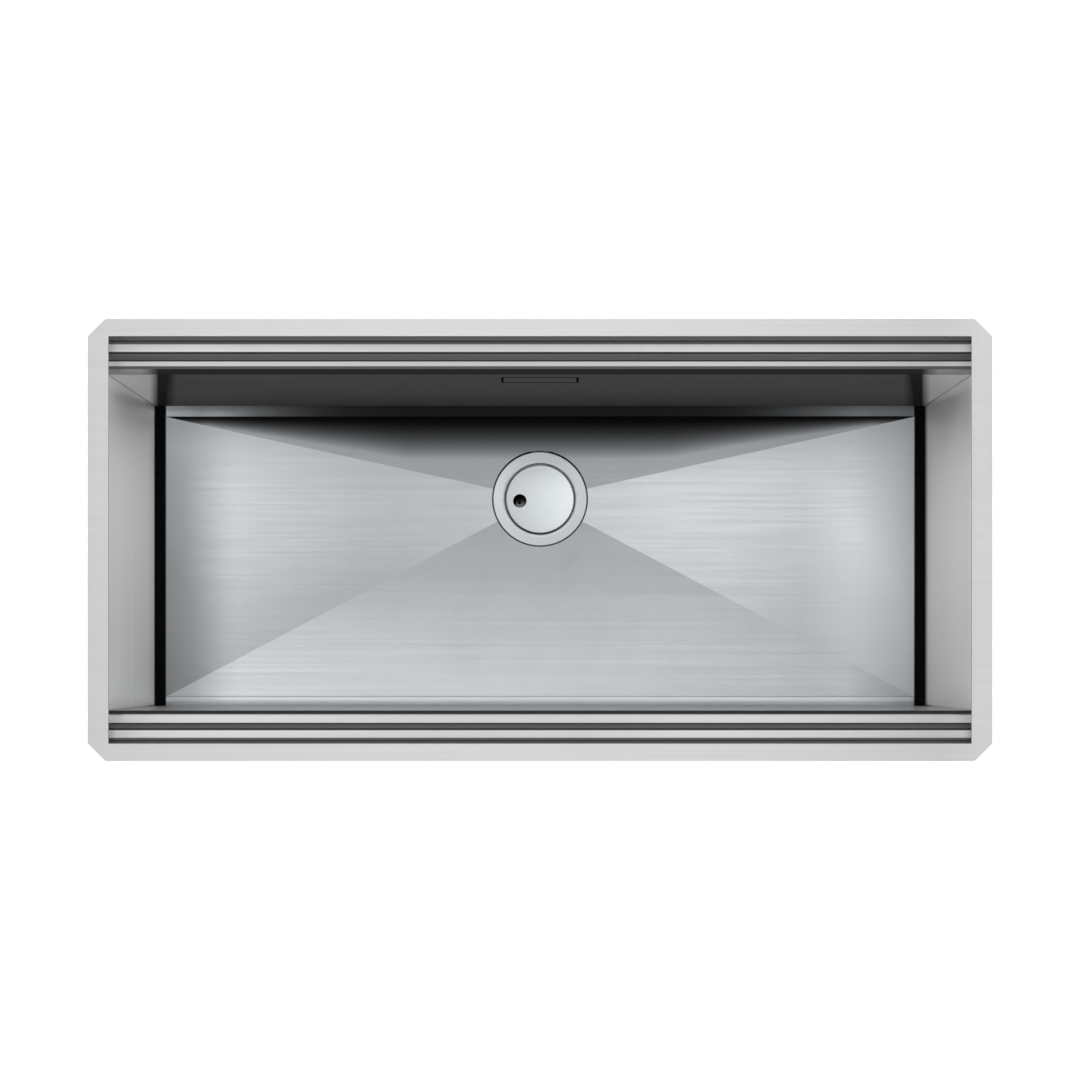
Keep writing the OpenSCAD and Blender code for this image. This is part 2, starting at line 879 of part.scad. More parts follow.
// An umbrella of rubber whose lip closes on the cup's floor outside its holes
module basket_seal() {
    lip_w = 3;
    color([0.1, 0.1, 0.1])
        at_drain()
            rotate_extrude()
                polygon([[0, seal_plate_z], [seal_r - lip_w - 1, seal_plate_z], [seal_r - lip_w, seal_lip_z],
                    [seal_r, seal_lip_z], [seal_r - 1, seal_plate_z + seal_t - 1],
                    [seal_r - 3, seal_plate_z + seal_t], [0, seal_plate_z + seal_t]]);
}

// The lid's outer or inner shape: a crown of large radius that runs into a rounded edge and a skirt
module lid_shape(r, edge_r, edge_z) {
    flat = r - edge_r;
    big_r = (lid_r * lid_r + lid_crown * lid_crown) / (2 * lid_crown) - (lid_r - r);
    lean = asin(flat / (big_r - edge_r));
    centre_z = edge_z - edge_r - (big_r - edge_r) * cos(lean);
    reach = 4;
    intersection() {
        translate([0, centre_z])
            circle(big_r, $fn = 720);
        polygon([[0, edge_z - edge_r], [flat, edge_z - edge_r],
            [flat + reach * sin(lean), edge_z - edge_r + reach * cos(lean)],
            [0, edge_z + 2 * lid_crown + reach]]);
    }
    translate([flat, edge_z - edge_r])
        circle(edge_r);
    strip(0, lid_skirt_z, r, edge_z - edge_r - lid_skirt_z);
}

module waste_lid() {
    color("whitesmoke")
        at_drain()
            difference() {
                rotate_extrude()
                    intersection() {
                        difference() {
                            lid_shape(lid_r, lid_edge_r, lid_edge_z);
                            translate([0, -lid_t])
                                lid_shape(lid_r - lid_t, lid_edge_r - lid_t, lid_edge_z);
                        }
                        strip(0, lid_skirt_z, lid_r, 4 * lid_crown + lid_edge_z - lid_skirt_z);
                    }
                rotate(finger_dir)
                    translate([finger_off, 0, lid_skirt_z])
                        cylinder(h = 4 * lid_crown + lid_edge_z - lid_skirt_z, r = finger_r);
            }
}

module overflow_cover() {
    color("dimgray")
        at_overflow()
            standing(wall_y, sheet_t)
                rounded_rect(cover_w, cover_h, 1.5);
}

module cover_posts() {
    color("gray")
        at_overflow()
            standing(wall_back_y, box_back_y - over_box_t - wall_back_y - post_gap)
                for (s = [-1, 1])
                    translate([s * post_x, 0])
                        circle(post_r);
}

module overflow_seal() {
    color([0.12, 0.12, 0.12])
        at_overflow()
            standing(wall_back_y, over_seal_t)
                difference() {
                    rounded_rect(box_w, box_h, 5);
                    rounded_rect(over_w + 3, over_h + 3, 3);
                }
}

module overflow_box() {
    color([0.12, 0.12, 0.13])
        difference() {
            union() {
                at_overflow() {
                    standing(box_y, over_box_d)
                        rounded_rect(box_w, box_h, 5);
                    standing(box_y, ear_t)
                        rounded_rect(box_w + 2 * ear_w, ear_h, ear_corner_r);
                }
                translate([0, pipe_y, box_foot_z - socket_len])
                    cylinder(h = socket_len + over_box_t, r = socket_r);
            }
            at_overflow() {
                difference() {
                    standing(box_y - over, over_box_d - over_box_t + over)
                        rounded_rect(box_w - 2 * over_box_t, box_h - 2 * over_box_t, 3);
                    standing(box_back_y - over_box_t - post_socket_d, post_socket_d + over_box_t)
                        for (s = [-1, 1])
                            translate([s * post_x, 0])
                                circle(post_r + 2);
                }
                standing(box_back_y - over_box_t - post_socket_d - over, post_socket_d + over)
                    for (s = [-1, 1])
                        translate([s * post_x, 0])
                            circle(post_r + post_gap);
                standing(box_y - over, ear_t + 2 * over)
                    for (s = [-1, 1])
                        translate([s * stud_x, 0])
                            circle(stud_r + 0.2);
            }
            translate([0, pipe_y, box_foot_z - socket_len - over])
                cylinder(h = socket_len + over_box_t + 2 * over, r = pipe_bore_r);
            translate([0, pipe_y, box_foot_z - socket_len - over])
                cylinder(h = socket_len - socket_stop + over, r = pipe_r + 0.2);
        }
}

module overflow_studs() {
    color("silver")
        at_overflow()
            standing(wall_back_y, stud_len)
                for (s = [-1, 1])
                    translate([s * stud_x, 0])
                        circle(stud_r);
}

module overflow_nuts() {
    color("silver")
        at_overflow()
            standing(box_y + ear_t, nut_t)
                for (s = [-1, 1])
                    translate([s * stud_x, 0])
                        difference() {
                            circle(nut_flat_r, $fn = 6);
                            circle(stud_r + 0.05);
                        }
}

// One moulded pipe: down from the overflow box, round a bend and forward to the waste body
module pipe_run(r, extra) {
    bend_z = inlet_z + pipe_bend_r;
    translate([0, pipe_y, bend_z])
        cylinder(h = pipe_top_z - bend_z + extra, r = r);
    translate([0, pipe_y - pipe_bend_r, bend_z])
        rotate([90, 0, 90])
            rotate_extrude(angle = -90)
                translate([pipe_bend_r, 0])
                    circle(r);
    translate([0, pipe_end_y - extra, inlet_z])
        rotate([-90, 0, 0])
            cylinder(h = pipe_y - pipe_bend_r - pipe_end_y + extra, r = r);
}

module overflow_pipe() {
    color([0.9, 0.9, 0.88])
        difference() {
            pipe_run(pipe_r, 0);
            pipe_run(pipe_bore_r, over);
        }
}

// Outline of a compression nut, with grip ribs round it
module pipe_nut_outline() {
    ribs = 14;
    rib_r = 1.5;
    circle(pipe_nut_r - 0.8);
    for (i = [0:ribs - 1])
        rotate(i * 360 / ribs)
            translate([pipe_nut_r - rib_r, 0])
                circle(rib_r, $fn = 32);
}

// A ribbed compression nut round the mouth of a socket, mouth down at z = 0
module pipe_nut() {
    collar_h = 2.5;
    color([0.15, 0.15, 0.16])
        difference() {
            translate([0, 0, -washer_t - pipe_nut_lip]) {
                linear_extrude(pipe_nut_h - collar_h)
                    pipe_nut_outline();
                cylinder(h = pipe_nut_h, r = pipe_nut_r - 1.4);
            }
            translate([0, 0, -washer_t])
                cylinder(h = pipe_nut_h, r = socket_r + pipe_nut_gap);
            translate([0, 0, -washer_t - pipe_nut_lip - over])
                cylinder(h = pipe_nut_h, r = pipe_r + 0.3);
        }
}

module at_upper_socket() {
    translate([0, pipe_y, box_foot_z - socket_len])
        children();
}

module at_lower_socket() {
    translate([0, socket_y + socket_len, inlet_z])
        rotate([90, 0, 0])
            children();
}

module pipe_nut_upper() {
    at_upper_socket()
        pipe_nut();
}

module pipe_nut_lower() {
    at_lower_socket()
        pipe_nut();
}

module pipe_washer() {
    translate([0, 0, -washer_t])
        difference() {
            cylinder(h = washer_t, r = socket_r - 0.2);
            translate([0, 0, -over])
                cylinder(h = washer_t + 2 * over, r = pipe_r + 0.1);
        }
}

module pipe_washers() {
    color([0.1, 0.1, 0.1]) {
        at_upper_socket()
            pipe_washer();
        at_lower_socket()
            pipe_washer();
    }
}

rim_flange();
rear_upper_ledge();
rear_lower_ledge();
rear_wall();
front_upper_ledge();
front_lower_ledge();
front_wall();
left_wall();
right_wall();
floor_pan();
pad_left();
pad_right();
pad_front();
pad_rear();
pad_floor_left();
pad_floor_right();
pad_floor_front();
pad_floor_rear();
waste_flange();
waste_top_gasket();
waste_bottom_gasket();
waste_body();
waste_screw();
waste_insert();
basket();
basket_knob();
basket_stem();
basket_seal();
waste_lid();
overflow_cover();
cover_posts();
overflow_seal();
overflow_box();
overflow_studs();
overflow_nuts();
overflow_pipe();
pipe_nut_upper();
pipe_nut_lower();
pipe_washers();
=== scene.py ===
"""Dresses the undermount sink: satin steel, welds, waste, overflow, sound pads and a plain studio."""

import math

import bmesh
import bpy
from bpy.props import FloatProperty, FloatVectorProperty, PointerProperty
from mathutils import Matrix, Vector


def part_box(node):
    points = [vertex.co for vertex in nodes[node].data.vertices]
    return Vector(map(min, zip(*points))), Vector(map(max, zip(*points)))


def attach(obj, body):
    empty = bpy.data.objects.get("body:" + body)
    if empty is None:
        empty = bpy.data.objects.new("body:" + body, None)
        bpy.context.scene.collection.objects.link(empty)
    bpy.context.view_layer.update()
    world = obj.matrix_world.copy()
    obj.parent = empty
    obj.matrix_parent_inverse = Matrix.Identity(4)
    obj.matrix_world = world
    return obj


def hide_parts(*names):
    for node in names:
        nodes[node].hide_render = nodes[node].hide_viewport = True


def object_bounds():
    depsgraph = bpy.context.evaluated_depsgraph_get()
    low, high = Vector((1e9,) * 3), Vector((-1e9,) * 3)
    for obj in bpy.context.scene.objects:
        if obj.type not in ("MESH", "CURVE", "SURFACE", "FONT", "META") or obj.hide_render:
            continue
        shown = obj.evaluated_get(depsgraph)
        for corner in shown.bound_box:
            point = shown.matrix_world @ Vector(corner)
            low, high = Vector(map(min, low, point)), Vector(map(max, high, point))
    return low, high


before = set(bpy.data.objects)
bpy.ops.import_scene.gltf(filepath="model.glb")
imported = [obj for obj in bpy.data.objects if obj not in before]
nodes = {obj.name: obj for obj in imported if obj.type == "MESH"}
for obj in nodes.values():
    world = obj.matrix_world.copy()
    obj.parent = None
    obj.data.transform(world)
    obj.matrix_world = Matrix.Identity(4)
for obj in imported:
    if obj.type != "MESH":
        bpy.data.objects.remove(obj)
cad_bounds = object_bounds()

bl_info = {
    "name": "Undermount Sink Dresser",
    "version": (1, 0, 0),
    "blender": (4, 5, 0),
    "location": "3D View > Sidebar > Sink",
    "description": "Finishes the packed sink and sets its studio",
    "category": "Object",
}

MM = 0.001
SHEET = 1.2 * MM
BEND = 3.7 * MM
FLOOR_BEND = 11.7 * MM
DRAIN_Y = sum(corner[1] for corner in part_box("waste_lid")) / 2
# Height over the rim, in mm, where the camera stands and that the painted mirrored bands lean away from
VIEW_HEIGHT = 1327.0


# ---------------------------------------------------------------- settings

def length_mm(name, description, default):
    return FloatProperty(name=name, description=description, default=default * MM, min=0.0,
                         precision=5, subtype="DISTANCE", unit="LENGTH")


def colour(name, description, default):
    return FloatVectorProperty(name=name, description=description, default=default, size=3,
                               min=0.0, max=1.0, subtype="COLOR")


def factor(name, description, default, top=1.0):
    return FloatProperty(name=name, description=description, default=default, min=0.0, max=top,
                         subtype="FACTOR")


class SinkFinish(bpy.types.PropertyGroup):
    """Colours and textures of the sink's materials"""
    rim_colour: colour("Rim steel", "Colour of the rim plate", (0.687, 0.689, 0.695))
    # Painted light and shade: the side walls and the ledges get paler copies of the bowl's steel colour, and
    # the floor a darker copy that is lifted where it turns to the light
    bowl_colour: colour("Bowl steel", "Colour of the walls and the floor", (0.635, 0.637, 0.642))
    floor_steel: colour("Floor steel", "Colour of the floor where it turns away from the light",
                        (0.487, 0.508, 0.527))
    side_colour: colour("Side steel", "Colour of the side walls", (0.742, 0.735, 0.728))
    ledge_colour: colour("Ledge steel", "Colour of the four ledges", (0.70, 0.70, 0.703))
    waste_colour: colour("Waste steel", "Colour of the waste's ring and cup", (0.592, 0.622, 0.645))
    lid_colour: colour("Lid steel", "Colour of the waste's lid", (0.695, 0.733, 0.752))
    basket_colour: colour("Basket steel", "Colour of the basket and its stopper", (0.62, 0.62, 0.63))
    zinc_colour: colour("Zinc", "Colour of screws, studs and nuts", (0.52, 0.53, 0.55))
    brass_colour: colour("Brass", "Colour of the insert", (0.72, 0.55, 0.27))
    pad_colour: colour("Sound pads", "Colour of the pads outside the bowl", (0.10, 0.10, 0.105))
    rubber_colour: colour("Rubber", "Colour of seals and washers", (0.028, 0.028, 0.03))
    foam_colour: colour("Foam", "Colour of the ring's gasket", (0.18, 0.18, 0.18))
    white_colour: colour("White plastic", "Colour of the waste body and the pipe", (0.78, 0.78, 0.755))
    black_colour: colour("Black plastic", "Colour of the overflow box and its nuts", (0.035, 0.035, 0.038))
    bead_colour: colour("Weld", "Colour of the stitch welds", (0.42, 0.41, 0.40))
    weld_radius: length_mm("Corner weld", "Radius of the ground welds in the bowl's corners", 1.2)
    stitch_radius: length_mm("Stitch size", "Size of the stitch welds under the rim", 1.9)
    stitch_length: length_mm("Stitch length", "Length of each stitch weld", 26.0)
    stitch_pitch: length_mm("Stitch pitch", "Distance between the middles of the stitch welds", 55.0)
    outlet_radius: length_mm("Outlet radius", "Radius of the waste's outlet", 23.9)
    outlet_pitch: length_mm("Outlet pitch", "Pitch of the outlet's thread", 2.309)
    grain_depth: factor("Grain depth", "Strength of the brushed grain", 0.22)
    steel_roughness: factor("Wall roughness", "Roughness of the upright walls", 0.33)
    ledge_roughness: factor("Floor roughness", "Roughness of the floor, the ledges and the ends", 0.46)


class SinkStudio(bpy.types.PropertyGroup):
    """Camera, floor and lamps"""
    camera_height: length_mm("Camera height", "Height of the camera over the rim", VIEW_HEIGHT)
    camera_back: length_mm("Camera offset", "Distance of the camera in front of the middle", 127.3)
    lens: FloatProperty(name="Lens", description="Focal length in millimetres", default=44.5, min=1.0)
    shift: FloatProperty(name="Lens shift", description="Upward shift of the frame", default=0.1185)
    left_glow: FloatProperty(name="Left box", description="Glow of the soft box at the left",
                             default=1.6, min=0.0)
    middle_glow: FloatProperty(name="Middle box", description="Glow of the wide soft box over the middle",
                               default=1.05, min=0.0)
    right_glow: FloatProperty(name="Right box", description="Glow of the soft box right of the middle",
                              default=1.3, min=0.0)
    end_glow: FloatProperty(name="End box", description="Glow of the soft box at the far right",
                            default=1.12, min=0.0)
    side_glow: FloatProperty(name="Studio walls", description="Glow of the studio's walls all round",
                             default=2.2, min=0.0)
    floor_colour: colour("Floor", "Colour of the floor", (0.86, 0.86, 0.86))


def finish():
    return bpy.context.scene.sink_finish


def studio():
    return bpy.context.scene.sink_studio


# ---------------------------------------------------------------- node trees

class Net:
    """Short calls that build a node tree"""

    def __init__(self, tree):
        self.tree = tree

    def add(self, kind, inputs=None, **settings):
        node = self.tree.nodes.new(kind)
        for key, value in settings.items():
            setattr(node, key, value)
        for key, value in (inputs or {}).items():
            if isinstance(value, bpy.types.NodeSocket):
                self.tree.links.new(value, node.inputs[key])
            else:
                node.inputs[key].default_value = value
        return node

    def math(self, operation, a, b=0.0, clamp=False):
        return self.add("ShaderNodeMath", {0: a, 1: b}, operation=operation, use_clamp=clamp).outputs[0]

    def chain(self, operation, first, *others):
        for other in others:
            first = self.math(operation, first, other)
        return first

    def times(self, *values):
        return self.chain("MULTIPLY", *values)

    def plus(self, *values):
        return self.chain("ADD", *values)

    def most(self, *values):
        return self.chain("MAXIMUM", *values)

    def rest(self, value):
        """What is left of 1"""
        return self.math("SUBTRACT", 1.0, value)

    def size(self, value):
        return self.math("ABSOLUTE", value)

    def vector(self, operation, a, b=(0.0, 0.0, 0.0)):
        return self.add("ShaderNodeVectorMath", {0: a, 1: b}, operation=operation).outputs["Vector"]

    def number(self, operation, a, b=(0.0, 0.0, 0.0)):
        return self.add("ShaderNodeVectorMath", {0: a, 1: b}, operation=operation).outputs["Value"]

    def split(self, vector):
        return self.add("ShaderNodeSeparateXYZ", {"Vector": vector}).outputs

    def facing(self):
        return self.add("ShaderNodeNewGeometry").outputs["Normal"]

    def reach(self, place, centre):
        """The distance from an upright axis"""
        off = self.vector("SUBTRACT", place, centre)
        return self.number("LENGTH", self.vector("MULTIPLY", off, (1.0, 1.0, 0.0)))

    def noise(self, vector, scale, detail=2.0, rough=0.5):
        made = self.add("ShaderNodeTexNoise", {"Vector": vector, "Scale": scale, "Detail": detail,
                                               "Roughness": rough})
        return made.outputs["Fac"]

    def spread(self, value, low, high, to_low=0.0, to_high=1.0):
        made = self.add("ShaderNodeMapRange", {"Value": value, "From Min": low, "From Max": high,
                                               "To Min": to_low, "To Max": to_high})
        return made.outputs["Result"]

    def band(self, value, start, full, fade, end):
        """A mask that rises from start to full, and falls from fade to end"""
        return self.times(self.spread(value, start, full), self.spread(value, end, fade))

    def mix(self, factor_value, a, b):
        made = self.add("ShaderNodeMix", {0: factor_value, 6: a, 7: b}, data_type="RGBA")
        return made.outputs[2]

    def bump(self, height, strength, distance, **inputs):
        inputs.update({"Height": height, "Strength": strength, "Distance": distance})
        return self.add("ShaderNodeBump", inputs).outputs["Normal"]

    def use(self, name, build, **inputs):
        """The outputs of a shared group, which is built at its first use"""
        tree = bpy.data.node_groups.get(name) or build()
        return self.add("ShaderNodeGroup", inputs, node_tree=tree).outputs


def group(name, inputs, outputs):
    """A new shader node group, its net, and the sockets of its input node"""
    tree = bpy.data.node_groups.new(name, "ShaderNodeTree")
    for label, kind in inputs:
        tree.interface.new_socket(name=label, in_out="INPUT", socket_type=kind)
    for label, kind in outputs:
        tree.interface.new_socket(name=label, in_out="OUTPUT", socket_type=kind)
    net = Net(tree)
    return tree, net, net.add("NodeGroupInput").outputs


FLOAT = "NodeSocketFloat"
VECTOR = "NodeSocketVector"


def brushed_group():
    """Long fine scratches: height for the bump, and a tone for colour and roughness"""
    tree, net, given = group("Brushed Grain", [("Place", VECTOR), ("Stretch", VECTOR)],
                             [("Height", FLOAT), ("Tone", FLOAT)])
    placed = net.vector("MULTIPLY", given["Place"], given["Stretch"])
    fine = net.noise(placed, 1.0, 3.0, 0.65)
    broad = net.noise(net.vector("MULTIPLY", placed, (0.35, 0.12, 0.12)), 1.0, 2.0)
    height = net.plus(net.times(fine, 0.85), net.times(broad, 0.15))
    net.add("NodeGroupOutput", {"Height": height, "Tone": net.spread(broad, 0.3, 0.7)})
    return tree


def turned_group():
    """Fine rings round an axis, as a polishing wheel leaves them"""
    tree, net, given = group("Turned Grain", [("Place", VECTOR), ("Axis", VECTOR), ("Rings", FLOAT)],
                             [("Height", FLOAT), ("Tone", FLOAT)])
    rings = net.times(net.reach(given["Place"], given["Axis"]), given["Rings"])
    lines = net.add("ShaderNodeTexNoise", {"W": rings, "Scale": 1.0, "Detail": 2.0},
                    noise_dimensions="1D").outputs["Fac"]
    haze = net.noise(net.vector("SUBTRACT", given["Place"], given["Axis"]), 60.0, 2.0)
    net.add("NodeGroupOutput", {"Height": lines, "Tone": net.spread(haze, 0.3, 0.7)})
    return tree


def fold_shade_group():
    """A mask of painted shade in the folds inside the bowl: where the sheet's slope lies between two pairs
    of values
    """
    tree, net, given = group("Painted Fold Shade", [("Place", VECTOR), ("Start", FLOAT), ("Full", FLOAT),
                                              ("Fade", FLOAT), ("End", FLOAT)], [("Mask", FLOAT)])
    turn, at = net.split(net.facing()), net.split(given["Place"])
    sloping = net.band(turn["Z"], given["Start"], given["Full"], given["Fade"], given["End"])
    outward = net.plus(net.times(at["X"], turn["X"]), net.times(at["Y"], turn["Y"]))
    inside = net.spread(net.times(outward, -1.0), 0.0, 0.01)
    net.add("NodeGroupOutput", {"Mask": net.times(sloping, inside)})
    return tree


def outer_group():
    """A mask of the outside of the bowl: where a face looks away from the middle of its mouth"""
    tree, net, given = group("Outer Face", [("Place", VECTOR)], [("Mask", FLOAT)])
    away = net.number("DOT_PRODUCT", given["Place"], net.facing())
    net.add("NodeGroupOutput", {"Mask": net.spread(away, -0.002, 0.002)})
    return tree


def handled_group():
    """Faint dried water and hand marks, as a mask"""
    tree, net, given = group("Handling Marks", [("Place", VECTOR), ("Size", FLOAT)], [("Mask", FLOAT)])
    clouds = net.noise(given["Place"], given["Size"], 4.0, 0.6)
    veil = net.noise(net.vector("ADD", given["Place"], (3.1, 1.7, 0.4)), 2.6, 2.0)
    mask = net.times(net.spread(clouds, 0.45, 0.7), net.spread(veil, 0.4, 0.65))
    net.add("NodeGroupOutput", {"Mask": mask})
    return tree


def moulded_group():
    """The fine leathery skin of moulded plastic and rubber, with a little dust"""
    tree, net, given = group("Moulded Skin", [("Place", VECTOR), ("Grit", FLOAT)],
                             [("Height", FLOAT), ("Dust", FLOAT)])
    grit = net.noise(given["Place"], given["Grit"], 3.0, 0.6)
    dust = net.noise(given["Place"], 35.0, 4.0, 0.65)
    net.add("NodeGroupOutput", {"Height": grit, "Dust": net.spread(dust, 0.5, 0.8)})
    return tree


# ---------------------------------------------------------------- light and shade painted in the bowl

# Slopes for fold_mask, which paints shade into the folds: where a fold's mask starts, is full, fades and
# ends
RIM_FOLD = (-0.9, -0.5, 0.5, 0.9)
LEDGE_FOLD = (-0.99, -0.9, 0.97, 0.995)
REAR_FOLD = (0.05, 0.3, 1.0, 1.01)
FRONT_FOLD = (0.05, 0.3, 0.96, 0.995)

# A ramp for spread holds where a value starts and ends, and the mask there: 0 and 1, if it doesn't say.
# Places are in metres from the middle of the rim, and slopes are parts of a face's normal.

# Bands of painted shade and painted reflection near the bowl's ends, in outward_lean's measure
CORNER_LEAN = (0.2796, 0.2804)
BEND_LEAN = (0.2990, 0.2860, 0.66, 1.0)
FOOT_LEAN = (0.2725, 0.2805, 0.895, 1.0)
LAST_LEAN = (0.2925, 0.2860)

# From the left half to the right half, and from the front half to the rear half
TO_RIGHT = (-0.1, 0.1)
TO_REAR = (-0.01, 0.01)

# Radii, in metres: the painted shadow line round the waste's ring, and the pale curve of painted light
# inside it
OUTLINE = (0.0535, 0.0541, 0.0549, 0.0555)
CURVE = (0.0409, 0.0413, 0.0434, 0.0446)

# Weights of the painted shades, where 1 is the darkest
OUTLINE_WEIGHT = 0.7
REAR_BEND_WEIGHT = 0.965
FINE_LINE_WEIGHT = 0.4
REAR_FOLD_WEIGHT = 0.885
COVER_WEIGHT = 0.91
FRONT_FOLD_WEIGHT = 0.91
FRONT_WEIGHT = 0.36


def fold_mask(net, place, slopes):
    """The mask of painted shade in the folds for a material"""
    start, full, fade, end = slopes
    folded = net.use("Painted Fold Shade", fold_shade_group, Place=place, Start=start, Full=full, Fade=fade, End=end)
    return folded["Mask"]


def outer_mask(net, place):
    return net.use("Outer Face", outer_group, Place=place)["Mask"]


def inner_mask(net, place):
    return net.rest(outer_mask(net, place))


def outward_lean(net, at):
    """How far a point lies to either side, along lines that lean outwards going down, as the painted
    reflections and corner lines do
    """
    return net.math("DIVIDE", net.size(at["X"]), net.math("SUBTRACT", VIEW_HEIGHT * MM, at["Z"]))


def floor_shade(net, place):
    """A mask of painted shade on the floor: its bends at the sides and the rear, the rear facet's foot, the
    ring's outline, and fine lines in the corners and along the front bend"""
    side_slope, rear_slope, corner_slope = (0.05, 0.2), (-0.03, -0.07), (0.05, 0.15)
    rear_bend, front_bend = (-0.10, -0.16), (0.75, 0.95, 0.0, FINE_LINE_WEIGHT)
    foot_width, right_width = (0.15, 0.38, 0.048, 0.010), (0.1, 0.25, 1.0, 0.9)
    foot_fade, half_bend, bend_fade, right_bend = 2.3, 0.37, 7.0, (0.28, 0.38, 1.0, 0.5)
    turn, at = net.split(net.facing()), net.split(place)
    low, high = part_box("floor_pan")
    foot, crease = high[1] - FLOOR_BEND, low[1] + FLOOR_BEND
    off = net.size(at["X"])
    sideways = net.spread(net.size(turn["X"]), *side_slope)

    # painted shade on the rear facet's foot: a strip that narrows towards the ends, where the bend behind it
    # is paler
    width = net.times(net.spread(off, *foot_width), net.spread(at["X"], *right_width))
    along = net.math("DIVIDE", net.most(net.math("SUBTRACT", foot, at["Y"]), 0.0), width)
    near = net.rest(net.math("POWER", net.math("MINIMUM", along, 1.0), foot_fade))
    ends = net.math("POWER", net.math("MINIMUM", net.math("DIVIDE", off, half_bend), 1.0), bend_fade)
    ends = net.times(ends, net.spread(at["X"], *right_bend))
    middle = net.times(net.rest(ends), REAR_BEND_WEIGHT)
    kept = net.rest(net.times(net.spread(turn["Y"], *rear_bend), net.rest(middle)))
    rear = net.times(net.spread(turn["Y"], *rear_slope), near, kept)

    # painted shadow lines: the ring's outline, and the fine lines
    outline = net.times(net.band(net.reach(place, (0.0, DRAIN_Y, 0.0)), *OUTLINE), OUTLINE_WEIGHT)
    corner = net.times(net.spread(outward_lean(net, at), *CORNER_LEAN),
                       net.spread(net.size(turn["Y"]), *corner_slope))
    line = net.times(net.spread(at["Y"], crease - 0.0012, crease - 0.0004),
                     net.spread(at["Y"], crease + 0.0008, crease, 0.0, FINE_LINE_WEIGHT))
    steep = net.spread(turn["Y"], *front_bend)
    upper = net.spread(turn["Z"], 0.0, 0.02)
    return net.times(net.most(sideways, rear, outline, corner, line, steep), upper)


def floor_painted_light(net, place):
    """A mask of painted light on the floor where it turns to the light: the facets' far halves and the front
    bend
    """
    side_slope, right_slope, front_slope = (0.008, 0.014), (0.0, -0.014), (0.06, 0.12)
    far_half, right_end = (-0.05, 0.12, 0.15, 1.0), (0.30, 0.42, 0.0, 0.85)
    by_waste, half_waste = (-0.16, 0.16, -0.25, 0.25), (0.34, 0.2)
    left_end, rear_corner = (-0.36, -0.42), (0.13, 0.09, 0.0, -0.3)
    front_half, front_fade, front_right = (-0.01, -0.15), 1.5, (-0.05, 0.25, 1.0, 0.66)
    rear_bend, left_corner = (-0.10, -0.16), (-0.388, -0.426)
    turn, at = net.split(net.facing()), net.split(place)
    beside = net.spread(net.size(turn["X"]), *side_slope)
    far = net.spread(at["Y"], *far_half)
    end = net.times(net.spread(turn["X"], *right_slope), net.spread(at["X"], *right_end))
    near = net.times(net.spread(at["X"], *by_waste), net.spread(net.size(at["X"]), *half_waste))
    dim = net.times(net.spread(at["X"], *left_end), net.spread(at["Y"], *rear_corner))
    side = net.times(net.plus(far, end, near, dim), beside)
    front = net.times(net.math("POWER", net.spread(at["Y"], *front_half), front_fade),
                      net.spread(at["X"], *front_right), net.rest(beside))
    corner = net.times(net.spread(turn["Y"], *rear_bend), net.spread(at["X"], *left_corner))
    facets = net.most(side, front, corner)
    return net.math("MAXIMUM", facets, net.spread(turn["Y"], *front_slope), clamp=True)


def ledge_shade(net, place):
    """A mask of painted shade on the ledges: their bends, and the strips that lie close to the bends"""
    flat_slope, rim_strip, wall_strip = (0.62, 0.80), (0.1968, 0.1978), (0.1786, 0.1778)
    turn, at = net.split(net.facing()), net.split(place)
    grey = net.spread(at["Y"], *TO_REAR, FRONT_FOLD_WEIGHT, REAR_FOLD_WEIGHT)
    bends = net.times(fold_mask(net, place, LEDGE_FOLD), net.most(net.spread(turn["Z"], *flat_slope), grey))
    under_rim = net.spread(net.size(at["Y"]), *rim_strip)
    over_wall = net.times(net.spread(at["Y"], *wall_strip), net.spread(at["Y"], 0.0, TO_REAR[1]))
    return net.most(bends, net.times(net.most(under_rim, over_wall), REAR_FOLD_WEIGHT))


def ledge_matt(net, place):
    """A mask of the ledges' ends, which stay pale up to the side walls"""
    last_stretch, flat_slope = (0.400, 0.418), (0.98, 0.995)
    turn, at = net.split(net.facing()), net.split(place)
    return net.times(net.spread(net.size(at["X"]), *last_stretch), net.spread(turn["Z"], *flat_slope))


def rear_shade(net, place):
    """A mask of painted shade on the rear wall: the bend over it, the shade that the bowl's middle throws on
    it, and the dark foot of each side wall, painted as a mirrored band that leans outwards"""
    upper_part = (-0.12, -0.03, 0.0, 0.035)
    at = net.split(place)
    lean = outward_lean(net, at)
    bend = net.times(fold_mask(net, place, REAR_FOLD), net.spread(lean, *BEND_LEAN))
    depth = net.plus(net.spread(lean, *FOOT_LEAN), net.spread(at["Z"], *upper_part))
    shade = net.times(net.math("MINIMUM", depth, 1.0), net.spread(lean, *LAST_LEAN))
    return net.most(bend, net.times(shade, inner_mask(net, place)))


def rim_painted_light(net, place):
    """A mask of painted light on the rim's right end, where the studio lights it more"""
    right_end = (0.40, 0.44, 0.0, 0.16)
    return net.spread(net.split(place)["X"], *right_end)


def rim_shade(net, place):
    """A mask of painted shade on the rim's edges"""
    return fold_mask(net, place, RIM_FOLD)


def cover_shade(net, place):
    """A mask of painted shade on the overflow's cover: as dark as the wall, and black along its upper and
    lower edges
    """
    inner_edge, outer_edge = 0.0036, 0.0028
    height = net.split(place)["Z"]
    low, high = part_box("overflow_cover")
    edge = net.most(net.spread(height, high[2] - inner_edge, high[2] - outer_edge),
                    net.spread(height, low[2] + inner_edge, low[2] + outer_edge))
    return net.most(edge, COVER_WEIGHT)


def front_shade(net, place):
    """A mask of painted shade on the front wall: the bend over it, and the shade on its inside"""
    return net.most(fold_mask(net, place, FRONT_FOLD), net.times(inner_mask(net, place), FRONT_WEIGHT))


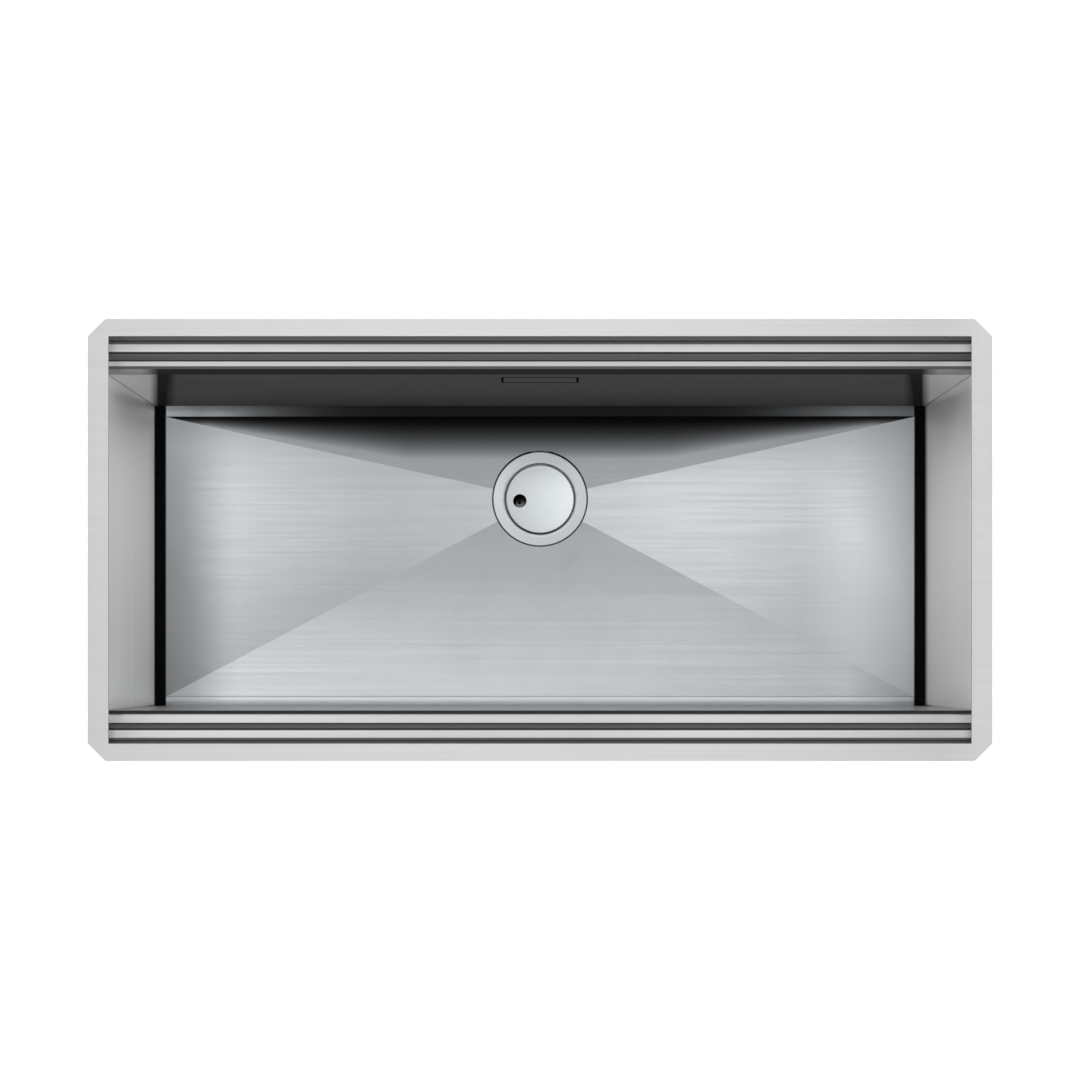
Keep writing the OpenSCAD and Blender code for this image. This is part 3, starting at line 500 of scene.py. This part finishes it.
def side_shade(net, place):
    """A mask of painted shade on the side walls: they darken towards the foot, and are black where they meet
    its bend
    """
    highest, lowest, palest, darkest, left_share = 0.16, 0.02, 0.03, 0.14, 0.45
    left_band, right_band, band_weight = 0.005, 0.014, 0.9
    at = net.split(place)
    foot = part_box("left_wall")[0][2]
    soft = net.times(net.spread(at["Z"], foot + highest, foot + lowest, palest, darkest),
                     net.spread(at["X"], *TO_RIGHT, left_share, 1.0))
    reach = net.spread(at["X"], *TO_RIGHT, foot + left_band, foot + right_band)
    hard = net.spread(at["Z"], reach, foot, 0.0, band_weight)
    return net.times(net.most(soft, hard), inner_mask(net, place))


def side_painted_light(net, place):
    """A mask of painted light on the side walls' rear halves, where the studio lights them more"""
    rear_half, right_share = (-0.13, 0.10, 0.0, 0.32), 0.6
    at = net.split(place)
    return net.times(net.spread(at["Y"], *rear_half), net.spread(at["X"], *TO_RIGHT, 1.0, right_share))


# ---------------------------------------------------------------- materials

# Scale of the grain along each axis: slow along the scratches, fine across them
SLOW, FINE = 9.0, 2600.0
ALONG_X = (SLOW, FINE, FINE)
ALONG_Y = (FINE, SLOW, FINE)
ALONG_Z = (FINE, FINE, SLOW)

BRUSHED_TONES = (0.955, 1.03)
TURNED_TONES = (0.96, 1.03)
MARK_SIZE, MARK_TONE, MARK_WEIGHT, MARK_ROUGHNESS = 22.0, 0.9, 0.14, 0.025
# How far painted light pales the colour
PAINTED_LIGHT_TONE = 1.68
# Painted light on the ring's pale curve, painted shade on its line round the lid, and how far the curve
# loses its shine
CURVE_TONE, LINE_TONE, CURVE_MATT = 1.5, 0.02, 0.8
BRUSHED_UNEVEN, TURNED_UNEVEN, DUST_UNEVEN = 0.07, 0.06, 0.1
BRUSHED_HEIGHT, TURNED_HEIGHT, SKIN_HEIGHT = 0.00012, 0.0001, 0.0002
DUST_LIFT = (0.12, 0.12, 0.115)
# The steels mirror as metals alone
NO_GLOSS = {"Specular IOR Level": 0.0}


def start_material(name):
    material = bpy.data.materials.new(name)
    material.use_nodes = True
    material.node_tree.nodes.clear()
    net = Net(material.node_tree)
    place = net.add("ShaderNodeTexCoord").outputs["Object"]
    return material, net, place


def close_material(net, base, roughness, normal, metallic=0.0, across=None, **fixed):
    inputs = {"Base Color": base, "Roughness": roughness, "Normal": normal, "Metallic": metallic}
    inputs.update(fixed)
    if across:
        inputs["Tangent"] = net.vector("CROSS_PRODUCT", net.facing(), across)
    shader = net.add("ShaderNodeBsdfPrincipled", inputs)
    net.add("ShaderNodeOutputMaterial", {"Surface": shader.outputs[0]})


def rgba(c, gain=1.0):
    return (c[0] * gain, c[1] * gain, c[2] * gain, 1.0)


def brushed_steel(name, base, stretch, roughness, depth, spread=0.8, dark=0.1, shade=None, painted_light=None,
                  matt=None, outer=0.0):
    """Satin sheet steel with its scratches along one direction. Its three masks give where painted shade
    darkens it, where painted light pales it, and where it is without shine; outer is its tone outside the
    bowl"""
    material, net, place = start_material(name)
    grain = net.use("Brushed Grain", brushed_group, Place=place, Stretch=stretch)
    marks = net.use("Handling Marks", handled_group, Place=place, Size=MARK_SIZE)["Mask"]
    tone = net.mix(grain["Tone"], *(rgba(base, share) for share in BRUSHED_TONES))
    tone = net.mix(net.times(marks, MARK_WEIGHT), tone, rgba(base, MARK_TONE))
    rough = net.plus(net.times(grain["Tone"], BRUSHED_UNEVEN), roughness - BRUSHED_UNEVEN / 2,
                     net.times(marks, MARK_ROUGHNESS))
    metallic = 1.0
    if painted_light:
        tone = net.mix(painted_light(net, place), tone, rgba(base, PAINTED_LIGHT_TONE))
    if shade:
        mask = shade(net, place)
        tone = net.mix(mask, tone, rgba(base, dark))
        metallic = net.rest(mask)
    if matt:
        metallic = net.math("SUBTRACT", metallic, matt(net, place), clamp=True)
    if outer:
        tone = net.mix(outer_mask(net, place), tone, rgba(base, outer))
    along = tuple(float(scale == SLOW) for scale in stretch)
    normal = net.bump(grain["Height"], depth, BRUSHED_HEIGHT)
    close_material(net, tone, rough, normal, metallic, along, Anisotropic=spread, **NO_GLOSS)
    return material


def lip_painted_masks(net, place, centre):
    """Two masks of the ring: the painted shade of the dark line round the lid, and the painted light of the
    pale curve between it and the flat ring
    """
    reach = net.reach(place, centre)
    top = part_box("waste_flange")[1][2]
    high = net.spread(net.split(place)["Z"], top - 0.006, top - 0.005)
    line = net.times(net.spread(reach, CURVE[1], CURVE[0]), high)
    return line, net.times(net.band(reach, *CURVE), high)


def turned_steel(name, base, centre, rings, roughness, depth, gains=(1.0, 0.0, 0.0), lip=False, deep=None):
    """Steel polished on a wheel round an upright axis. gains are its brightness and how that leans to x and
    y, the lean being painted light. deep is where painted shade starts to dim it going down, where that
    ends, the tone there, and the radius of its painted dark edge"""
    material, net, place = start_material(name)
    grain = net.use("Turned Grain", turned_group, Place=place, Axis=centre, Rings=rings)
    level, lean_x, lean_y = gains
    off = net.split(net.vector("SUBTRACT", place, centre))
    gain = net.plus(net.times(off["X"], lean_x), net.times(off["Y"], lean_y), level)
    if deep:
        start, end, dimmed, edge = deep
        gain = net.times(gain, net.spread(off["Z"], start, end, 1.0, dimmed),
                         net.spread(net.reach(place, centre), edge, edge + 0.0006, 1.0, 0.06))
    tone = net.mix(grain["Tone"], *(rgba(base, share) for share in TURNED_TONES))
    tone = net.add("ShaderNodeVectorMath", {0: tone, "Scale": gain}, operation="SCALE").outputs["Vector"]
    metallic = 1.0
    if lip:
        line, curve = lip_painted_masks(net, place, centre)
        tone = net.mix(curve, tone, rgba(base, CURVE_TONE))
        tone = net.mix(line, tone, rgba(base, LINE_TONE))
        metallic = net.math("SUBTRACT", net.rest(line), net.times(curve, CURVE_MATT), clamp=True)
    rough = net.plus(net.times(grain["Tone"], TURNED_UNEVEN), roughness - TURNED_UNEVEN / 2)
    close_material(net, tone, rough, net.bump(grain["Height"], depth, TURNED_HEIGHT), metallic, **NO_GLOSS)
    return material


def moulded(name, base, grit, roughness, depth, dusty=0.15, metallic=0.0, cells=0.0):
    """Moulded plastic, rubber, foam or cast metal"""
    material, net, place = start_material(name)
    skin = net.use("Moulded Skin", moulded_group, Place=place, Grit=grit)
    pale = [min(1.0, part + more) for part, more in zip(base, DUST_LIFT)]
    tone = net.mix(net.times(skin["Dust"], dusty), rgba(base), rgba(pale))
    rough = net.plus(net.times(skin["Dust"], DUST_UNEVEN), roughness)
    normal = net.bump(skin["Height"], depth, SKIN_HEIGHT)
    if cells:
        dimples = net.add("ShaderNodeTexVoronoi", {"Vector": place, "Scale": cells}, feature="SMOOTH_F1")
        normal = net.bump(dimples.outputs["Distance"], 0.8, 0.0012, Normal=normal)
    close_material(net, tone, rough, normal, metallic)
    return material


def dress(names, material):
    for name in names:
        slots = nodes[name].data.materials
        slots.clear()
        slots.append(material)


# ---------------------------------------------------------------- meshes

def make_piece(name, mesh, material, body="root", stands_for=()):
    """Puts a mesh in the scene as a piece that rides on a body"""
    mesh.materials.clear()
    mesh.materials.append(material)
    piece = bpy.data.objects.new(name, mesh)
    bpy.context.scene.collection.objects.link(piece)
    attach(piece, body)
    if stands_for:
        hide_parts(*stands_for)
    return piece


def closed_mesh(name, bodies):
    """A smooth mesh of closed bodies, each one a list of rings with equally many points"""
    points, faces = [], []
    for rings in bodies:
        first, count = len(points), len(rings[0])
        for ring in rings:
            points.extend(ring)
        for i in range(len(rings) - 1):
            for j in range(count):
                a, b = first + i * count, first + (i + 1) * count
                faces.append((a + j, a + (j + 1) % count, b + (j + 1) % count, b + j))
        faces.append(tuple(range(first, first + count)))
        faces.append(tuple(range(len(points) - count, len(points))))
    mesh = bpy.data.meshes.new(name)
    mesh.from_pydata(points, [], faces)
    work = bmesh.new()
    work.from_mesh(mesh)
    bmesh.ops.recalc_face_normals(work, faces=work.faces)
    work.to_mesh(mesh)
    work.free()
    mesh.shade_smooth()
    mesh.set_sharp_from_angle(angle=math.radians(50))
    return mesh


def settle_normals(mesh):
    """Turns each corner's normal towards the largest face there, so that flat faces look flat"""
    pull = [Vector() for _ in mesh.vertices]
    for face in mesh.polygons:
        for corner in face.vertices:
            pull[corner] += face.normal * face.area
    mesh.normals_split_custom_set_from_vertices([way.normalized() for way in pull])


def soften(node, width, steps=2):
    """A copy of a node's mesh with its sharp edges rounded over"""
    same_point, same_plane, sharp_angle = 0.000001, math.radians(0.6), math.radians(40)
    work = bmesh.new()
    work.from_mesh(nodes[node].data)
    bmesh.ops.remove_doubles(work, verts=work.verts, dist=same_point)
    bmesh.ops.dissolve_limit(work, angle_limit=same_plane, verts=work.verts, edges=work.edges)
    sharp = [edge for edge in work.edges
             if len(edge.link_faces) == 2 and edge.calc_face_angle(0.0) > sharp_angle]
    bmesh.ops.bevel(work, geom=sharp, offset=width, segments=steps, profile=0.5, affect="EDGES",
                    clamp_overlap=True)
    mesh = bpy.data.meshes.new(node + "_soft")
    work.to_mesh(mesh)
    work.free()
    old = mesh.attributes.get("custom_normal")
    if old:
        mesh.attributes.remove(old)
    mesh.shade_smooth()
    settle_normals(mesh)
    return mesh


def replace_softened(names, width, material, steps=2):
    for name in names:
        dress([name], material)
        make_piece(name + "_rounded", soften(name, width, steps), material, "root", (name,))


def thread_rings(foot, axis, radius, pitch, turns, height):
    """Rings of a thread that winds up a cylinder from its foot and runs out at both ends"""
    steps, run_out = 40, 24
    half_root, half_crest, sunk = 0.42, 0.1, -0.3
    along = Vector(axis)
    side = along.orthogonal().normalized()
    across = along.cross(side)
    last = int(turns * steps)
    rings = []
    for i in range(last + 1):
        angle = math.tau * i / steps
        out = side * math.cos(angle) + across * math.sin(angle)
        crest = min(1.0, i / run_out, (last - i) / run_out)
        profile = ((-half_root, sunk), (-half_crest, crest), (half_crest, crest), (half_root, sunk))
        rings.append([foot + out * (radius + tall * height) + along * pitch * (i / steps + off)
                      for off, tall in profile])
    return rings


def corner_rings(corner, x_way, y_way, foot, top, radius):
    """Rings of a ground fillet that stands in a corner of the bowl, a little wavy from the grinding"""
    steps, sides, waviness = 48, 8, 0.00004
    centre = Vector((corner[0] - x_way * radius, corner[1] - y_way * radius))
    rings = []
    for i in range(steps + 1):
        z = foot + (top - foot) * i / steps
        wave = waviness * math.sin(i * 2.3) * math.sin(i * 0.7)
        ring = [(corner[0], corner[1], z)]
        for k in range(sides + 1):
            turn = math.radians(k * 90 / sides)
            reach = radius - wave * math.sin(2 * turn)
            ring.append((centre.x + x_way * reach * math.cos(turn),
                         centre.y + y_way * reach * math.sin(turn), z))
        rings.append(ring)
    return rings


def stitch_rings(middle, along, out, length, radius):
    """Rings of a short rippled weld in the corner between a wall and the rim"""
    steps, sides = 40, 5
    ripple, ripple_pitch, hollow = 0.09, 0.0013, 0.12
    down = Vector((0.0, 0.0, -1.0))
    rings = []
    for i in range(steps + 1):
        s = length * (i / steps - 0.5)
        end = max(0.12, 1.0 - abs(2 * s / length) ** 8) ** 0.5
        size = radius * end * (1.0 + ripple * math.cos(math.tau * s / ripple_pitch))
        ring = [middle + along * s]
        for k in range(sides + 1):
            turn = math.radians(k * 90 / sides)
            reach = size * (1.0 - hollow + hollow * math.cos(2 * turn) ** 2)
            ring.append(middle + along * s + out * reach * math.cos(turn) + down * reach * math.sin(turn))
        rings.append(ring)
    return rings


# ---------------------------------------------------------------- operators

OUTSIDE_TONE = 0.36
METAL = 1.0
RINGS = 5200.0
# Places of the stitch welds, counted from the middle of a long side and of a short side
LONG_STITCHES = range(-7, 8)
SHORT_STITCHES = range(-3, 4)


class SINK_OT_finish_bowl(bpy.types.Operator):
    """Gives the rim, the walls and the floor their satin steel, with painted light and shade"""
    bl_idname = "sink.finish_bowl"
    bl_label = "Finish the bowl"

    def execute(self, context):
        f = finish()
        rim = brushed_steel("rim satin", f.rim_colour, ALONG_X, 0.62, f.grain_depth * 0.6,
                            0.5, 0.05, rim_shade, rim_painted_light)
        replace_softened(["rim_flange"], 0.3 * MM, rim, 3)
        dress([name for name in nodes if name.endswith("_ledge")],
              brushed_steel("ledge satin", f.ledge_colour, ALONG_X, f.ledge_roughness, f.grain_depth,
                            0.8, 0.05, ledge_shade, matt=ledge_matt, outer=OUTSIDE_TONE))
        walls = (("rear_wall", "rear satin", 0.03, rear_shade, OUTSIDE_TONE),
                 ("overflow_cover", "cover satin", 0.03, cover_shade, 0.0),
                 ("front_wall", "front satin", 0.05, front_shade, OUTSIDE_TONE))
        for name, label, dark, shade, outer in walls:
            dress([name], brushed_steel(label, f.bowl_colour, ALONG_X, f.steel_roughness, f.grain_depth,
                                        0.6, dark, shade, outer=outer))
        dress(["left_wall", "right_wall"],
              brushed_steel("side satin", f.side_colour, ALONG_Y, f.ledge_roughness, f.grain_depth,
                            0.8, 0.03, side_shade, side_painted_light, outer=OUTSIDE_TONE))
        dress(["floor_pan"],
              brushed_steel("floor satin", f.floor_steel, ALONG_X, f.ledge_roughness, f.grain_depth * 0.5,
                            0.75, 0.01, floor_shade, floor_painted_light, outer=0.5))
        return {"FINISHED"}


class SINK_OT_lay_welds(bpy.types.Operator):
    """Lays the ground welds in the bowl's corners and the stitch welds under the rim"""
    bl_idname = "sink.lay_welds"
    bl_label = "Lay the welds"

    def execute(self, context):
        f = finish()
        wall_low, wall_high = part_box("rear_wall")
        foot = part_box("floor_pan")[1].z
        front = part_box("front_wall")[1].y
        ground = brushed_steel("ground weld", tuple(part * 0.75 for part in f.bowl_colour), ALONG_Z,
                               f.steel_roughness, f.grain_depth, 0.4)
        inner = wall_high.x
        top = wall_high.z - SHEET - BEND
        corners = [corner_rings((x_way * inner, y), x_way, y_way, foot, top, f.weld_radius)
                   for x_way in (-1, 1) for y, y_way in ((wall_low.y, 1), (front, -1))]
        make_piece("corner_welds", closed_mesh("corner_welds", corners), ground)
        bead = moulded("stitch weld", f.bead_colour, 700.0, 0.36, 0.35, 0.3, METAL)
        x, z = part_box("right_wall")[1].x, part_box("right_wall")[1].z
        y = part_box("rear_upper_ledge")[1].y
        places = []
        for way in (-1, 1):
            places += [((i * f.stitch_pitch, way * y, z), (1, 0, 0), (0, way, 0)) for i in LONG_STITCHES]
            places += [((way * x, i * f.stitch_pitch, z), (0, 1, 0), (way, 0, 0)) for i in SHORT_STITCHES]
        beads = [stitch_rings(Vector(middle), Vector(along), Vector(out), f.stitch_length, f.stitch_radius)
                 for middle, along, out in places]
        make_piece("stitch_welds", closed_mesh("stitch_welds", beads), bead)
        return {"FINISHED"}


class SINK_OT_finish_waste(bpy.types.Operator):
    """Gives the waste, its lid and its basket their metals, plastics and rubbers, with painted light and
    shade on the ring, the lid and the basket
    """
    bl_idname = "sink.finish_waste"
    bl_label = "Finish the waste"

    def execute(self, context):
        f = finish()
        low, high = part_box("waste_flange")
        centre = (low + high) / 2
        # The ring's and the lid's gains lean their tone as painted light, and the basket is dimmed by
        # painted shade
        dress(["waste_flange"],
              turned_steel("ring satin", f.waste_colour, centre, RINGS, 0.42, 0.16, (1.08, -0.8, 3.4),
                           lip=True))
        dress(["waste_lid"],
              turned_steel("lid satin", f.lid_colour, centre, RINGS, 0.42, 0.10, (1.05, 5.5, 3.8)))
        deep = (high.z - centre.z - 0.004, low.z - centre.z + 0.010, 0.1, 0.0388)
        dress(["basket", "basket_knob", "basket_stem"],
              turned_steel("basket polish", f.basket_colour, centre, 3800.0, 0.16, 0.08, deep=deep))
        dress(["waste_screw"], moulded("zinc", f.zinc_colour, 900.0, 0.28, 0.1, 0.1, METAL))
        dress(["waste_insert"], moulded("brass", f.brass_colour, 900.0, 0.3, 0.1, 0.1, METAL))
        white = moulded("white plastic", f.white_colour, 1600.0, 0.42, 0.2)
        dress(["waste_body", "overflow_pipe"], white)
        foot = Vector((0.0, DRAIN_Y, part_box("waste_body")[0].z + 1.4 * MM))
        thread = thread_rings(foot, (0, 0, 1), f.outlet_radius, f.outlet_pitch, turns=8, height=0.45 * MM)
        make_piece("outlet_thread", closed_mesh("outlet_thread", [thread]), white)
        dress(["waste_top_gasket"], moulded("grey foam", f.foam_colour, 2200.0, 0.9, 0.6))
        dress(["waste_bottom_gasket", "basket_seal", "overflow_seal", "pipe_washers"],
              moulded("black rubber", f.rubber_colour, 1400.0, 0.6, 0.35))
        return {"FINISHED"}


class SINK_OT_finish_overflow(bpy.types.Operator):
    """Gives the overflow box, its nuts and its studs their plastic and zinc"""
    bl_idname = "sink.finish_overflow"
    bl_label = "Finish the overflow"

    def execute(self, context):
        f = finish()
        zinc = moulded("stud zinc", f.zinc_colour, 1200.0, 0.32, 0.12, 0.1, METAL)
        dress(["overflow_studs", "cover_posts"], zinc)
        replace_softened(["overflow_nuts"], 0.35 * MM, zinc)
        low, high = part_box("overflow_studs")
        nut_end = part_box("overflow_nuts")[1].y
        radius = (high.z - low.z) / 2
        pitch = 0.8 * MM
        feet = [Vector((x, nut_end + 0.3 * MM, (low.z + high.z) / 2))
                for x in (low.x + radius, high.x - radius)]
        turns = (high.y - nut_end) / pitch - 1.0
        threads = [thread_rings(foot, (0, 1, 0), radius, pitch, turns, 0.14 * MM) for foot in feet]
        make_piece("stud_threads", closed_mesh("stud_threads", threads), zinc)
        replace_softened(["overflow_box", "pipe_nut_upper", "pipe_nut_lower"], 0.5 * MM,
                         moulded("black plastic", f.black_colour, 1300.0, 0.46, 0.3))
        return {"FINISHED"}


class SINK_OT_lay_pads(bpy.types.Operator):
    """Gives the sound pads their rubber"""
    bl_idname = "sink.lay_pads"
    bl_label = "Lay the sound pads"

    def execute(self, context):
        pads = [name for name in nodes if name.startswith("pad_")]
        rubber = moulded("sound pad", finish().pad_colour, 500.0, 0.78, 0.6, 0.3, cells=150.0)
        replace_softened(pads, 0.9 * MM, rubber, 3)
        return {"FINISHED"}


LAMP_Y, LAMP_Z, LAMP_DEPTH = 0.45, 1.6, 3.5
CEILING_TONE = (0.03, 0.03, 0.031, 1.0)


class SINK_OT_set_studio(bpy.types.Operator):
    """Sets the camera, the pale floor, the lamps and the world"""
    bl_idname = "sink.set_studio"
    bl_label = "Set the studio"

    def execute(self, context):
        s = studio()
        self.set_camera(context.scene, s)
        self.lay_floor(context.scene, s)
        for name, x, width, glow in (("left_box", -0.85, 0.5, s.left_glow),
                                     ("middle_box", -0.2, 0.8, s.middle_glow),
                                     ("right_box", 0.4, 0.4, s.right_glow),
                                     ("end_box", 0.85, 0.5, s.end_glow)):
            self.hang_lamp(context.scene, name, (x, LAMP_Y, LAMP_Z), (width, LAMP_DEPTH), glow)
        self.set_world(context.scene, s)
        context.scene.view_settings.view_transform = "Standard"
        return {"FINISHED"}

    def set_camera(self, scene, s):
        data = bpy.data.cameras.new("camera")
        data.lens = s.lens
        data.sensor_width = 36.0
        data.shift_y = s.shift
        data.clip_start = 0.01
        data.clip_end = 50.0
        camera = bpy.data.objects.new("camera", data)
        camera.location = (0.0, -s.camera_back, s.camera_height)
        scene.collection.objects.link(camera)
        scene.camera = camera

    def lay_floor(self, scene, s):
        """A pale floor that glows for the camera and for mirrors, and is clear from below"""
        level, half = cad_bounds[0][2], 6.0
        mesh = bpy.data.meshes.new("studio_floor")
        mesh.from_pydata([(-half, -half, level), (half, -half, level), (half, half, level),
                          (-half, half, level)], [], [(0, 1, 2, 3)])
        floor = bpy.data.objects.new("studio_floor", mesh)
        scene.collection.objects.link(floor)
        material = bpy.data.materials.new("studio floor")
        material.use_nodes = True
        material.node_tree.nodes.clear()
        net = Net(material.node_tree)
        matt = net.add("ShaderNodeBsdfDiffuse", {"Color": rgba(s.floor_colour)})
        lit = net.add("ShaderNodeEmission", {"Color": (1.0, 1.0, 1.0, 1.0), "Strength": 0.8})
        both = net.add("ShaderNodeAddShader", {0: matt.outputs[0], 1: lit.outputs[0]})
        path = net.add("ShaderNodeLightPath").outputs
        seen = net.most(path["Is Camera Ray"], path["Is Glossy Ray"], path["Is Transmission Ray"])
        above = net.add("ShaderNodeMixShader", {0: seen, 1: matt.outputs[0], 2: both.outputs[0]})
        clear = net.add("ShaderNodeBsdfTransparent")
        back = net.add("ShaderNodeNewGeometry").outputs["Backfacing"]
        out = net.add("ShaderNodeMixShader", {0: back, 1: above.outputs[0], 2: clear.outputs[0]})
        net.add("ShaderNodeOutputMaterial", {"Surface": out.outputs[0]})
        mesh.materials.append(material)

    def hang_lamp(self, scene, name, place, size, glow):
        data = bpy.data.lights.new(name, "AREA")
        data.shape = "RECTANGLE"
        data.size, data.size_y = size
        data.energy = glow * math.pi * size[0] * size[1]
        lamp = bpy.data.objects.new(name, data)
        lamp.location = place
        lamp.visible_camera = False
        scene.collection.objects.link(lamp)

    def set_world(self, scene, s):
        """Glowing walls all round, under a dark ceiling"""
        world = bpy.data.worlds.new("studio world")
        scene.world = world
        world.use_nodes = True
        world.node_tree.nodes.clear()
        net = Net(world.node_tree)
        way = net.add("ShaderNodeTexCoord").outputs["Generated"]
        low = net.spread(net.split(way)["Z"], 0.55, 0.45)
        tone = net.mix(low, CEILING_TONE, rgba((s.side_glow,) * 3))
        sky = net.add("ShaderNodeBackground", {"Color": tone, "Strength": 1.0})
        net.add("ShaderNodeOutputWorld", {"Surface": sky.outputs[0]})


class SINK_PT_sidebar(bpy.types.Panel):
    """Lists the steps that dress the sink"""
    bl_idname = "SINK_PT_sidebar"
    bl_label = "Sink"
    bl_space_type = "VIEW_3D"
    bl_region_type = "UI"
    bl_category = "Sink"

    def draw(self, context):
        for settings in (context.scene.sink_finish, context.scene.sink_studio):
            box = self.layout.box()
            for key in settings.__annotations__:
                box.prop(settings, key)
        for step in STEPS:
            self.layout.operator(step.bl_idname)


STEPS = (SINK_OT_finish_bowl, SINK_OT_lay_welds, SINK_OT_finish_waste, SINK_OT_finish_overflow,
         SINK_OT_lay_pads, SINK_OT_set_studio)
SETTINGS = (SinkFinish, SinkStudio)
CLASSES = SETTINGS + STEPS + (SINK_PT_sidebar,)


def register():
    for cls in CLASSES:
        bpy.utils.register_class(cls)
    bpy.types.Scene.sink_finish = PointerProperty(type=SinkFinish)
    bpy.types.Scene.sink_studio = PointerProperty(type=SinkStudio)


def unregister():
    del bpy.types.Scene.sink_finish
    del bpy.types.Scene.sink_studio
    for cls in reversed(CLASSES):
        bpy.utils.unregister_class(cls)


def main():
    register()
    for step in STEPS:
        family, name = step.bl_idname.split(".")
        getattr(getattr(bpy.ops, family), name)()


if __name__ == "__main__":
    main()
